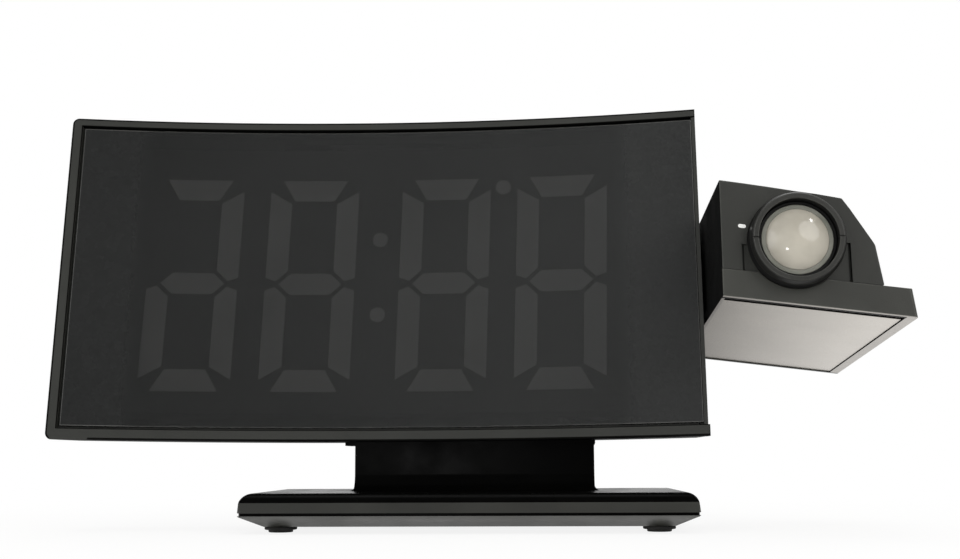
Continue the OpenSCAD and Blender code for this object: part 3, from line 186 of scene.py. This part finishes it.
def noise(tree, scale, detail=3.0, roughness=0.5, stretch=None):
    where = place_on(tree)
    if stretch:
        mapping = node(tree, "ShaderNodeMapping", Scale=stretch)
        tree.links.new(where, mapping.inputs["Vector"])
        where = mapping.outputs["Vector"]
    n = node(tree, "ShaderNodeTexNoise", Scale=scale, Detail=detail, Roughness=roughness)
    tree.links.new(where, n.inputs["Vector"])
    return n.outputs["Fac"]


def spread(tree, source, low, high, from_low=0.35, from_high=0.65):
    """Maps a source to low..high, by default over the middle of a noise's range."""
    n = node(tree, "ShaderNodeMapRange")
    feed_all(tree, n, {"Value": source, "From Min": from_low, "From Max": from_high,
                       "To Min": low, "To Max": high})
    return n.outputs["Result"]


def calc(tree, operation, a, b):
    n = node(tree, "ShaderNodeMath", operation=operation)
    for slot, value in zip(n.inputs, (a, b)):
        feed(tree, slot, value)
    return n.outputs[0]


def blend_colours(tree, factor, a, b):
    n = node(tree, "ShaderNodeMix", data_type="RGBA")
    feed(tree, n.inputs["Factor"], factor)
    # by number, since the node's inputs and outputs for numbers and for colours have the same names
    feed(tree, n.inputs[6], a)
    feed(tree, n.inputs[7], b)
    return n.outputs[2]


def mottled(tree, scale, detail, a, b):
    """Soft blotches of two colours."""
    return blend_colours(tree, spread(tree, noise(tree, scale, detail), 0, 1), a, b)


def bump(tree, shader, height, strength):
    n = node(tree, "ShaderNodeBump", Strength=strength, Distance=0.0001)
    tree.links.new(height, n.inputs["Height"])
    tree.links.new(n.outputs["Normal"], shader.inputs["Normal"])


def mix_shaders(tree, factor, a, b):
    n = node(tree, "ShaderNodeMixShader")
    for slot, value in zip(n.inputs, (factor, a, b)):
        tree.links.new(value, slot)
    return n.outputs[0]


def glow(tree, kind, strength, colour=(1, 1, 1)):
    """Plain light from a Background or an Emission node."""
    n = node(tree, kind)
    feed_all(tree, n, {"Color": colour, "Strength": strength})
    return n.outputs[0]


def edge_highlight_mask(tree):
    """1 on the faces that a rounded edge is made of, where the painted edge highlight goes, from the mesh's
    own attribute.
    """
    return node(tree, "ShaderNodeAttribute", attribute_name="edge_highlight").outputs["Fac"]


def shade(rgb, factor):
    return tuple(min(c * factor, 1) for c in rgb)


# ---- Materials ----


def material(name):
    m = bpy.data.materials.new(name)
    m.use_nodes = True
    return m, m.node_tree, m.node_tree.nodes["Principled BSDF"]


def moulded(name, rgb, rough, grain=2400, depth=0.25, vary=0.16, spec=0.35, edge_highlight=2.2):
    """Moulded plastic: a fine spark-eroded grain, slight blotches, and a painted highlight that lightens its
    rounded edges.
    """
    m, t, s = material(name)
    plain = mottled(t, 42, 5, shade(rgb, 1 - vary), shade(rgb, 1 + vary))
    # painted highlight on the rounded edges, made patchy by noise
    highlight_amount = calc(t, "MULTIPLY", edge_highlight_mask(t), spread(t, noise(t, 160, 4), 0.1, 0.75))
    feed_all(t, s, {
        "Base Color": blend_colours(t, highlight_amount, plain, shade(rgb, edge_highlight)),
        "Roughness": spread(t, noise(t, 75, 4), rough - 0.05, rough + 0.07),
        "Specular IOR Level": spec,
    })
    bump(t, s, noise(t, grain, 3, 0.6), depth)
    return m


def metal(name, rgb, rough, grain=900, depth=0.08, stretch=None, vary=0.08):
    m, t, s = material(name)
    feed_all(t, s, {
        "Metallic": 1,
        "Base Color": mottled(t, 60, 5, shade(rgb, 1 - vary), shade(rgb, 1 + vary)),
        "Roughness": spread(t, noise(t, grain, 3, 0.6, stretch), rough - 0.05, rough + 0.08),
    })
    bump(t, s, noise(t, grain, 3, 0.6, stretch), depth)
    return m


def rubber(name, rgb):
    m, t, s = material(name)
    feed_all(t, s, {
        "Base Color": mottled(t, 130, 5, shade(rgb, 0.75), shade(rgb, 1.5)),
        "Roughness": spread(t, noise(t, 500, 3), 0.72, 0.9),
        "Specular IOR Level": 0.25,
    })
    bump(t, s, noise(t, 1500, 4, 0.7), 0.4)
    return m


def smoked(name, rgb, edge_highlight_rgb):
    """Smoked, fine-grained acrylic that lets a little of the segments through, with painted light that makes
    it grow lighter from left to right. Behind its ends lies an opaque printed border, dimmed slightly by
    painted shade to match the see-through middle, and its rounded edges get a painted highlight."""
    m, t, s = material(name)
    cloud = mottled(t, 14, 4, shade(rgb, 0.86), shade(rgb, 1.12))
    grain = blend_colours(t, spread(t, noise(t, 1050, 2, 0.75), 0, 1), cloud, shade(rgb, 1.25))
    x = split(t, place_on(t))["X"]
    from_middle = calc(t, "ABSOLUTE", calc(t, "ADD", x, ORIGIN[0] / 1000), 0)
    border = spread(t, from_middle, 0, 1, 0.0695, 0.0755)
    # painted shade that dims the opaque ends, and painted light that grows from left to right
    border_shade = calc(t, "SUBTRACT", 1, calc(t, "MULTIPLY", border, 0.16))
    painted_light = calc(t, "MULTIPLY", border_shade, spread(t, x, 0.72, 1.17, -0.12, 0.01))
    lit_grain = node(t, "ShaderNodeVectorMath", operation="SCALE")
    t.links.new(grain, lit_grain.inputs[0])
    t.links.new(painted_light, lit_grain.inputs["Scale"])
    # the rounded edges get a painted highlight in a colour of their own
    feed_all(t, s, {
        "Base Color": blend_colours(t, edge_highlight_mask(t), lit_grain.outputs[0], edge_highlight_rgb),
        "Roughness": spread(t, noise(t, 300, 3), 0.22, 0.3),
        "Specular IOR Level": 0.18,
        "Alpha": calc(t, "ADD", 0.62, calc(t, "MULTIPLY", border, 0.38)),
    })
    bump(t, s, noise(t, 1700, 2, 0.6), 0.03)
    return m


def lens_glass(name, dark, light):
    """The projector lens: polished, with its pale innards showing through as a milky grey."""
    m, t, s = material(name)
    feed_all(t, s, {
        "Base Color": mottled(t, 150, 2, dark, light),
        "Roughness": spread(t, noise(t, 700, 2), 0.05, 0.1),
        "Transmission Weight": 0.2,
        "IOR": 1.52,
    })
    return m


def clear_glass(name, rgb):
    m, t, s = material(name)
    feed_all(t, s, {
        "Base Color": mottled(t, 90, 2, shade(rgb, 0.9), rgb),
        "Roughness": spread(t, noise(t, 600, 2), 0.02, 0.06),
        "Transmission Weight": 0.85,
        "IOR": 1.5,
    })
    return m


def circuit_board(name, mask, track):
    """Solder mask that lies a little higher, and lighter, over the tracks."""
    m, t, s = material(name)
    tracks = spread(t, noise(t, 220, 1, 0.3, (1, 1, 6)), 0, 1, 0.49, 0.51)
    feed_all(t, s, {
        "Base Color": blend_colours(t, tracks, mask, track),
        "Roughness": spread(t, noise(t, 300, 3), 0.25, 0.4),
    })
    bump(t, s, tracks, 0.3)
    return m


M = {
    # The stand
    "black_gloss": moulded("black_gloss_plastic", (0.0012, 0.0012, 0.0011), 0.27,
                           grain=900, depth=0.03, spec=0.03, vary=0.2, edge_highlight=3),
    "base_grey": moulded("base_satin_plastic", (0.0225, 0.023, 0.0195), 0.42, edge_highlight=1.8),
    "tray_grey": moulded("tray_satin_plastic", (0.058, 0.059, 0.0515), 0.38, spec=0.5, vary=0.1, edge_highlight=1.5),
    "foot_rubber": rubber("foot_rubber", (0.022, 0.022, 0.021)),
    # The clock's casing, its screen and what shows through it
    "deep_black": moulded("deep_black_plastic", (0.0025, 0.0025, 0.0024), 0.55, spec=0.08, edge_highlight=2),
    "dark_grey": moulded("dark_grey_plastic", (0.041, 0.042, 0.037), 0.42, edge_highlight=1.8),
    # painted shade for the rounded edges of the frame's front
    "edge_shade": moulded("bezel_edge_shade_plastic", (0.004, 0.004, 0.0036), 0.6, spec=0.03, vary=0.1, edge_highlight=1.2),
    "casing_black": moulded("casing_black_plastic", (0.0285, 0.0295, 0.026), 0.44, vary=0.07, edge_highlight=1.9),
    "key_black": moulded("key_plastic", (0.011, 0.011, 0.0105), 0.3,
                         grain=1800, depth=0.02, spec=0.5, vary=0.08),
    # its second colour is a painted highlight on the window's rounded edges
    "smoked_screen": smoked("smoked_acrylic", (0.0255, 0.0264, 0.0262), (0.1, 0.1, 0.097)),
    "reflector_grey": moulded("reflector_plastic", (0.03, 0.031, 0.031), 0.7,
                              depth=0.08, vary=0.08, spec=0.2),
    "diffuser": moulded("segment_diffuser", (0.62, 0.62, 0.605), 0.55, grain=1200, vary=0.06, spec=0.3),
    # The projector head
    "ring_black": moulded("ring_black_plastic", (0.0205, 0.0207, 0.0182), 0.36, spec=0.45, edge_highlight=2.8),
    # painted shade for the focus ring's rounded edges
    "ring_edge_shade": moulded("focus_ring_shade_plastic", (0.0085, 0.0085, 0.0075), 0.33, spec=0.4, edge_highlight=2.8),
    "barrel_black": moulded("barrel_plastic", (0.008, 0.008, 0.008), 0.6, spec=0.2),
    "silver_plate": metal("satin_silver", (0.70, 0.657, 0.595), 0.28, grain=5000, depth=0.01, vary=0.03),
    "trim_silver": metal("trim_silver", (0.52, 0.49, 0.45), 0.32, grain=2200, depth=0.02, vary=0.05),
    "white_mark": moulded("white_print", (0.85, 0.85, 0.83), 0.5, vary=0.04),
    "lens_glass": lens_glass("lens_dome_glass", (0.48, 0.45, 0.385), (0.575, 0.54, 0.465)),
    "lens_rim": lens_glass("lens_rim_glass", (0.21, 0.215, 0.185), (0.29, 0.29, 0.255)),
    "condenser": clear_glass("condenser_glass", (0.9, 0.9, 0.88)),
    "slide_dark": clear_glass("slide_glass", (0.2, 0.2, 0.24)),
    # Inside
    "led_package": moulded("led_resin", (0.75, 0.68, 0.45), 0.35, vary=0.05),
    "circuit_board": circuit_board("solder_mask_green", (0.012, 0.07, 0.03), (0.02, 0.11, 0.05)),
    "component_black": moulded("component_epoxy", (0.015, 0.015, 0.015), 0.55),
    "connector_white": moulded("connector_nylon", (0.72, 0.7, 0.62), 0.45, vary=0.04),
    "bush_plastic": moulded("bush_plastic", (0.006, 0.006, 0.006), 0.35, spec=0.3),
    "lead_red": rubber("lead_sleeve", (0.35, 0.02, 0.02)),
    "cone_black": rubber("cone_paper", (0.04, 0.036, 0.032)),
    "switch_metal": metal("switch_steel", (0.5, 0.5, 0.52), 0.35),
    "screw_steel": metal("screw_steel", (0.46, 0.46, 0.48), 0.3),
    "contact_brass": metal("contact_brass", (0.78, 0.6, 0.27), 0.3),
    "steel_grey": metal("steel_grey", (0.3, 0.31, 0.33), 0.38),
    "sink_aluminium": metal("extruded_aluminium", (0.6, 0.61, 0.63), 0.4, stretch=(1, 8, 1)),
}

# The CAD nodes that stay as they are; the condenser shares the lens's slot, but it is clear
for node_name, solid in NODES.items():
    finish = M["condenser" if node_name == "condenser_lens" else SLOTS[node_name]]
    if not solid.material_slots:
        solid.data.materials.append(finish)
    for material_slot in solid.material_slots:
        material_slot.material = finish

# ---- Dressed pieces: the CAD solid's own faces, with rounded edges and more detail ----

SHARP = radians(32)


def cleaned(node_name):
    bm = bmesh.new()
    bm.from_mesh(NODES[node_name].data)
    bmesh.ops.remove_doubles(bm, verts=bm.verts, dist=3e-6)
    bmesh.ops.dissolve_limit(bm, angle_limit=radians(0.35), verts=bm.verts, edges=bm.edges)
    return bm


def merge(bm, pick, where, distance):
    """Joins close points, where a corner's facets are finer than the rounding that goes over them."""
    near = [v for v in bm.verts if pick(where(v.co))]
    bmesh.ops.remove_doubles(bm, verts=near, dist=distance / 1000)
    return bm


def cut(bm, at, normal):
    """Cuts the faces along a plane, so that each side can have its own finish."""
    bmesh.ops.bisect_plane(bm, geom=bm.verts[:] + bm.edges[:] + bm.faces[:], plane_co=at, plane_no=normal)


def round_edges(bm, where, width, pick, segments):
    """Rounds the sharp edges with both ends in pick(), which gets points as where() gives them."""
    chosen = []
    for e in bm.edges:
        if len(e.link_faces) != 2 or e.calc_face_angle(0) < SHARP:
            continue
        if pick is None or all(pick(where(v.co)) for v in e.verts):
            chosen.append(e)
    if not chosen:
        return
    soft = bm.faces.layers.int.get("soft") or bm.faces.layers.int.new("soft")
    made = bmesh.ops.bevel(bm, geom=chosen, offset=width / 1000, offset_type="OFFSET", segments=segments,
                           profile=0.5, affect="EDGES", clamp_overlap=False)
    for f in made["faces"]:
        if f.is_valid:
            f[soft] = 1


def piece(node_name, name, bm, finish=None, others=()):
    """Puts a bmesh in the place of a CAD node, on its body. Each of others is (finish, pick), and
    pick(centre, normal) gives faces that finish, with both in the row frame."""
    mesh = bpy.data.meshes.new(name)
    bm.normal_update()
    for e in bm.edges:
        e.smooth = len(e.link_faces) == 2 and e.calc_face_angle(0) < SHARP
    soft = bm.faces.layers.int.get("soft")
    # the faces of the rounded edges, which get the painted edge highlight
    edge_highlight = [float(f[soft]) if soft else 0.0 for f in bm.faces]
    for f in bm.faces:
        centre = f.calc_center_median()
        f.material_index = next((i for i, o in enumerate(others, 1) if o[1](centre, f.normal)), 0)
        f.smooth = True
    bm.to_mesh(mesh)
    bm.free()
    mesh.attributes.new("edge_highlight", "FLOAT", "FACE").data.foreach_set("value", edge_highlight)
    for m in (finish or M[SLOTS[node_name]], *(o[0] for o in others)):
        mesh.materials.append(m)
    o = bpy.data.objects.new(name, mesh)
    bpy.context.scene.collection.objects.link(o)
    # large faces keep their own flat shading beside a rounded edge
    level = o.modifiers.new("level", "WEIGHTED_NORMAL")
    level.keep_sharp = True
    level.weight = 100
    o.data = bpy.data.meshes.new_from_object(o.evaluated_get(bpy.context.evaluated_depsgraph_get()))
    o.modifiers.clear()
    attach(o, BODIES[node_name])
    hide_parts(node_name)


def dress(node_name, name, rounds, where=to_product, finish=None, others=(), bm=None):
    """A CAD node with its edges rounded: each of rounds is (width, pick, segments)."""
    if bm is None:
        bm = cleaned(node_name)
    for width, pick, segments in rounds:
        round_edges(bm, where, width, pick, segments)
    piece(node_name, name, bm, finish, others)


def lathe(profile, place, count=96):
    """A turned form from (radius, height) points; place() takes millimetres to the row frame."""
    bm = bmesh.new()
    rings = []
    for r, h in profile:
        n = count if r > 0 else 1
        angles = [2 * pi * i / n for i in range(n)]
        rings.append([bm.verts.new(place((r * cos(a), r * sin(a), h))) for a in angles])
    for a, b in zip(rings, rings[1:]):
        for i in range(count):
            j = (i + 1) % count
            corners = [a[i % len(a)], a[j % len(a)], b[j % len(b)], b[i % len(b)]]
            bm.faces.new(list(dict.fromkeys(corners)))
    bmesh.ops.recalc_face_normals(bm, faces=bm.faces)
    return bm


# ---- The clock ----


def at_left(p):
    return p.x < CORNER_R - HALF_W + ON


def on_outline(p):
    """On the outline of the display's face, but for its right end."""
    return at_left(p) or p.z < ON or p.z > HEIGHT - ON


def on_front(p, deep=0.0):
    return depth_of(p) < deep + 0.06


def at_low_corner(p):
    """At the lower left corner, which has more facets than its rounding has room for."""
    return at_left(p) and p.z < 0.3 and depth_of(p) < 1.5


# faces that look down, which get painted shade
def shaded_underside(c, n):
    return n.z < -0.4


def shaded_frame_edge(c, n):
    """The rounded edges of the frame's curved front, where painted shade makes them dark beside the front."""
    q = to_display(c)
    inwards = Vector((-q.x, -q.y - SCREEN_R, 0)).normalized()
    return depth_of(q) < 0.75 and 0.1 < own_normal(to_display, c, n).dot(inwards) < 0.985


def on_back_outline(p):
    """On the outline of the casing's back, where the underside has risen to 5."""
    at_side = abs(p.x) > HALF_W - CORNER_R - ON
    return depth_of(p) > DEPTH - ON and (at_side or p.z < 5 + ON or p.z > HEIGHT - ON)


def on_cap_rim(p):
    return from_cell(p) > 12.6 and depth_of(p) > 28


def free_lugs(bm, outwards=0.12):
    """Thins the lugs under the battery cap a little, so that they turn clear of the casing."""
    bottom = arc_y(CELL[0], DEPTH) - LUG_FLOOR
    for v in bm.verts:
        p = to_display(v.co)
        if abs(p.y - bottom) < 0.02 and from_cell(p) > 12.8:
            v.co = from_display((p.x, p.y + outwards, p.z))
    return bm


# painted shade: the frame's downward faces are deep black, and its rounded front edges dark
dress("front_frame", "display_bezel", [
    (0.7, lambda p: on_front(p) and on_outline(p), 4),
    (0.25, lambda p: on_front(p) and not on_outline(p), 2),
], to_display, others=[(M["deep_black"], shaded_underside), (M["edge_shade"], shaded_frame_edge)],
    bm=merge(cleaned("front_frame"), at_low_corner, to_display, 0.6))
dress("screen_lens", "smoked_window", [(0.22, lambda p: on_front(p, SCREEN_SET), 2)], to_display)
dress("rear_cover", "rear_casing", [(1.6, on_back_outline, 5)], to_display)
dress("snooze_bar", "snooze_key", [(0.7, lambda p: p.z > HEIGHT + KEY_PROUD - ON, 4)], to_display)
for key in ("set_button", "alarm_button", "up_button", "down_button", "projection_button"):
    dress(key, key + "_cap", [(0.5, lambda p: depth_of(p) > DEPTH + KEY_PROUD - ON, 4)], to_display)
dress("battery_cap", "battery_lid", [(0.35, on_cap_rim, 3)], to_display,
      bm=free_lugs(cleaned("battery_cap")))

# ---- The stand ----


def shallow_seam(bm, outwards=0.65):
    """Brings the inner wall of the seam's groove nearer to the base's sides, so that no light shows through
    its ends."""
    for v in bm.verts:
        p = to_product(v.co)
        x, y = p.x - BASE_MIDDLE[0], p.y - BASE_MIDDLE[1]
        inset = min(BASE_HALF[0] - abs(x), BASE_HALF[1] - abs(y))
        if 4.6 < p.z < 5.6 and 0.95 < inset < 1.6:
            v.co.x += copysign(outwards, x) / 1000
            v.co.y += copysign(outwards, y) / 1000
    return bm


def on_neck(p):
    """On the neck's corners, between its curved foot and the clock."""
    return 15.7 < p.z < 24 and -8 < p.x < 65 and 0 < p.y < 40


def base_side(c, n):
    return n.z < 0.3 and 0.0055 < c.z < 0.0095


# black gloss on the neck and the top, and satin on the sides of the base
dress("stand_body", "stand_moulding", [(0.5, on_neck, 3)], to_product, M["black_gloss"],
      [(M["base_grey"], base_side)], shallow_seam(cleaned("stand_body")))
dress("base_cover", "base_tray", [(0.25, lambda p: p.z < 2, 2)], to_product, M["tray_grey"])
dress("rubber_feet", "foot_pads", [(0.3, None, 3)])

# ---- The projector head ----

def at_end(p):
    return abs(p.z) > HALF_H - ON


def slab_corner(p):
    """On the edges of the slab's two far corners."""
    return at_end(p) and p.x > 144.5 and p.y > -22


def shell_edge(p):
    """On the outline of the shell's ends, but for the edge along the slab."""
    return at_end(p) and (p.x < HEAD_X + ON or p.x > 130.6 or p.y > 12.9)


# the head's faces towards the clock, painted black as shade
def shaded_side(c, n):
    return n.x < -0.9


def rim(c, n):
    """How deep a face lies behind the head's front, or None when it doesn't face the front."""
    if own_normal(to_head, c, n).y > -0.8:
        return None
    q = to_head(c)
    return q.y - arc_y(HALF_W) + AXLE_Y + (q.x - HEAD_X) * tan(HEAD_SLOPE)


def channel_shade(c, n):
    """The channel round the silver panel, and a band of the frame beside it, painted black as shade."""
    q = to_head(c)
    beside = CHANNEL_SHADE_BAND[0] < q.z < CHANNEL_SHADE_BAND[1] and q.x < SHADE_BAND_END
    return rim(c, n) is not None and (rim(c, n) > 0.5 or beside)


def on_trim(c, n):
    """The light trim round the channel."""
    return rim(c, n) is not None and rim(c, n) < 0.1 and to_head(c).z > PANEL_END


def slab():
    """The head's frame, with its faces cut where the finish changes."""
    bm = cleaned("head_frame")
    cut(bm, from_head((0, 0, PANEL_END)), AXIS)
    cut(bm, from_head((0, 0, CHANNEL_SHADE_BAND[1])), AXIS)
    cut(bm, from_head((SHADE_BAND_END, 0, 0)), Vector((1, 0, 0)))
    cut(bm, from_head((0, 0, CHANNEL_SHADE_BAND[0])), AXIS)
    return bm


# painted shade: the head's side towards the clock is black, and so are the channel round the silver panel and
# a band beside it
dress("head_frame", "head_slab", [(0.9, slab_corner, 4), (0.3, at_end, 2)], to_head, others=[
    (M["deep_black"], shaded_side), (M["deep_black"], channel_shade), (M["trim_silver"], on_trim)], bm=slab())
# painted shade: its side towards the clock is black
dress("head_shell", "head_case", [(0.45, shell_edge, 2)], to_head, others=[(M["deep_black"], shaded_side)])
# painted shade: the panel's face towards the channel is black
dress("head_plate", "silver_panel", [(0.12, None, 2)],
      others=[(M["deep_black"], lambda c, n: n.dot(AXIS) > 0.9)])
# painted shade: the ring's outer side is near black and its rounded edges are dimmed
dress("focus_ring", "focus_grip", [
    (0.3, lambda p: p.z > RING_FRONT - ON and from_lens(p) > 11.5, 3),
    (0.25, lambda p: p.z > RING_FRONT - ON and from_lens(p) < 10.8, 2),
], to_head, M["ring_black"], [
    (M["barrel_black"], lambda c, n: abs(n.dot(AXIS)) < 0.2),
    (M["ring_edge_shade"], lambda c, n: abs(n.dot(AXIS)) < 0.9),
])

# Projector lens: a flat rim round a steeper dome
LENS_FOOT = 50.15
DOME_R, DOME_RISE, DOME_TOP = 8.2, 2.2, 4.3
BALL = (DOME_R ** 2 + DOME_RISE ** 2) / (2 * DOME_RISE)
rim_profile = [(0, 0.15), (9.35, 0.15), (9.48, 0.3), (9.48, 1.85), (9.35, 1.98), (8.4, 1.98), (8.28, 1.9)]
dome_radii = [DOME_R * sin(radians(a)) for a in range(90, 0, -6)]
dome_profile = [(r, DOME_TOP - BALL + sqrt(BALL ** 2 - r ** 2)) for r in dome_radii] + [(0, DOME_TOP)]
lens = lathe(rim_profile + dome_profile,
             lambda q: from_head((LENS[0] + q[0], LENS[1] + q[1], LENS_FOOT + q[2])))
piece("projector_lens", "lens_element", lens,
      others=[(M["lens_rim"], lambda c, n: from_lens(to_head(c)) > DOME_R + 0.05)])

# ---- Light, floor and camera ----


def area(name, at, target, size, energy, colour=(1, 1, 1)):
    light = bpy.data.lights.new(name, "AREA")
    light.shape = "DISK"
    light.size = size
    light.energy = energy
    light.color = colour
    o = bpy.data.objects.new(name, light)
    o.location = at
    o.rotation_euler = (Vector(target) - Vector(at)).to_track_quat("-Z", "Y").to_euler()
    bpy.context.scene.collection.objects.link(o)


MIDDLE = (0.02, -0.01, 0.07)
LENS_PLACE = (0.09, -0.04, 0.09)
area("key_light", (0.75, -1.0, 0.75), MIDDLE, 0.9, 5.0, (1, 0.985, 0.96))
area("fill_light", (-0.9, -0.85, 0.45), MIDDLE, 0.9, 3.0, (0.97, 0.985, 1))
area("top_light", (-0.1, 0.35, 1.3), MIDDLE, 1.1, 4.0)
# the two small bright spots on the projector lens
area("glint_high", (0.83, -0.63, 1.10), LENS_PLACE, 0.14, 0.9)
area("glint_low", (-0.10, -0.95, 0.02), LENS_PLACE, 0.09, 0.4)


def studio():
    """White to the camera and plain light to the object. What glossy surfaces see is dimmer on the viewer's
    side than behind the object, and lighter to the left."""
    world = bpy.data.worlds.new("studio")
    bpy.context.scene.world = world
    world.use_nodes = True
    t = world.node_tree
    t.nodes.clear()
    ray = node(t, "ShaderNodeLightPath").outputs
    way = split(t, place_on(t, "Generated"))
    room = calc(t, "MAXIMUM", spread(t, way["X"], 0.6, 0.1, -0.24, 0.0), spread(t, way["Y"], 0, 1, -0.3, 0.2))
    mirrored = calc(t, "MAXIMUM", ray["Is Glossy Ray"], ray["Is Transmission Ray"])
    lit = mix_shaders(t, mirrored, glow(t, "ShaderNodeBackground", 0.75, (1, 0.995, 0.98)),
                      glow(t, "ShaderNodeBackground", room))
    shown = mix_shaders(t, ray["Is Camera Ray"], lit, glow(t, "ShaderNodeBackground", 1))
    t.links.new(shown, node(t, "ShaderNodeOutputWorld").inputs["Surface"])


def floor_white():
    m, t, s = material("floor_white")
    feed_all(t, s, {
        "Base Color": mottled(t, 3, 3, (0.9, 0.9, 0.89), (0.94, 0.94, 0.93)),
        "Roughness": 0.75,
        "Specular IOR Level": 0.2,
    })
    ray = node(t, "ShaderNodeLightPath").outputs
    place = place_on(t)
    x, y, _ = split(t, place)
    # to the camera, the object's shadow fades into the white further out
    away = node(t, "ShaderNodeVectorMath", operation="LENGTH")
    t.links.new(place, away.inputs[0])
    seen = calc(t, "MAXIMUM", ray["Is Camera Ray"], ray["Is Transmission Ray"])
    white = calc(t, "MULTIPLY", seen, spread(t, away.outputs["Value"], 0.86, 1.0, 0.12, 0.35))
    shown = mix_shaders(t, white, s.outputs[0], glow(t, "ShaderNodeEmission", 1))
    # to glossy surfaces it is dim in front of the object, and lighter towards the right behind it
    near = spread(t, y, 0.25, 0.72, -0.13, -0.07)
    behind = spread(t, y, 0, 1, 0.02, 0.08)
    across = spread(t, x, 0.26, 1.0, 0.08, 0.16)
    mirrored = calc(t, "ADD", near, calc(t, "MULTIPLY", behind, calc(t, "SUBTRACT", across, near)))
    shown = mix_shaders(t, ray["Is Glossy Ray"], shown, glow(t, "ShaderNodeEmission", mirrored))
    t.links.new(shown, t.nodes["Material Output"].inputs["Surface"])
    return m


def lay_floor():
    mesh = bpy.data.meshes.new("floor")
    bm = bmesh.new()
    bmesh.ops.create_grid(bm, x_segments=8, y_segments=8, size=3.0)
    bm.to_mesh(mesh)
    bm.free()
    mesh.materials.append(floor_white())
    floor = bpy.data.objects.new("floor", mesh)
    floor.location.z = -0.0002
    bpy.context.scene.collection.objects.link(floor)


def place_camera(at, yaw, pitch, roll, focal_length):
    cam = bpy.data.cameras.new("camera")
    cam.lens = focal_length
    cam.sensor_width = 36
    cam.clip_start = 0.01
    camera = bpy.data.objects.new("camera", cam)
    turn = Matrix.Rotation(yaw, 3, "Z") @ Matrix.Rotation(pitch, 3, "X") @ Matrix.Rotation(roll, 3, "Y")
    right, forward, up = turn.col[0], turn.col[1], turn.col[2]
    camera.matrix_world = Matrix((
        (right.x, up.x, -forward.x, at[0]),
        (right.y, up.y, -forward.y, at[1]),
        (right.z, up.z, -forward.z, at[2]),
        (0, 0, 0, 1)))
    bpy.context.scene.collection.objects.link(camera)
    bpy.context.scene.camera = camera


studio()
lay_floor()
place_camera(at=(0.02064, -0.40603, 0.01996), yaw=radians(2.35), pitch=radians(7.54), roll=radians(0.24),
             focal_length=50.8)
bpy.context.scene.view_settings.view_transform = "Standard"
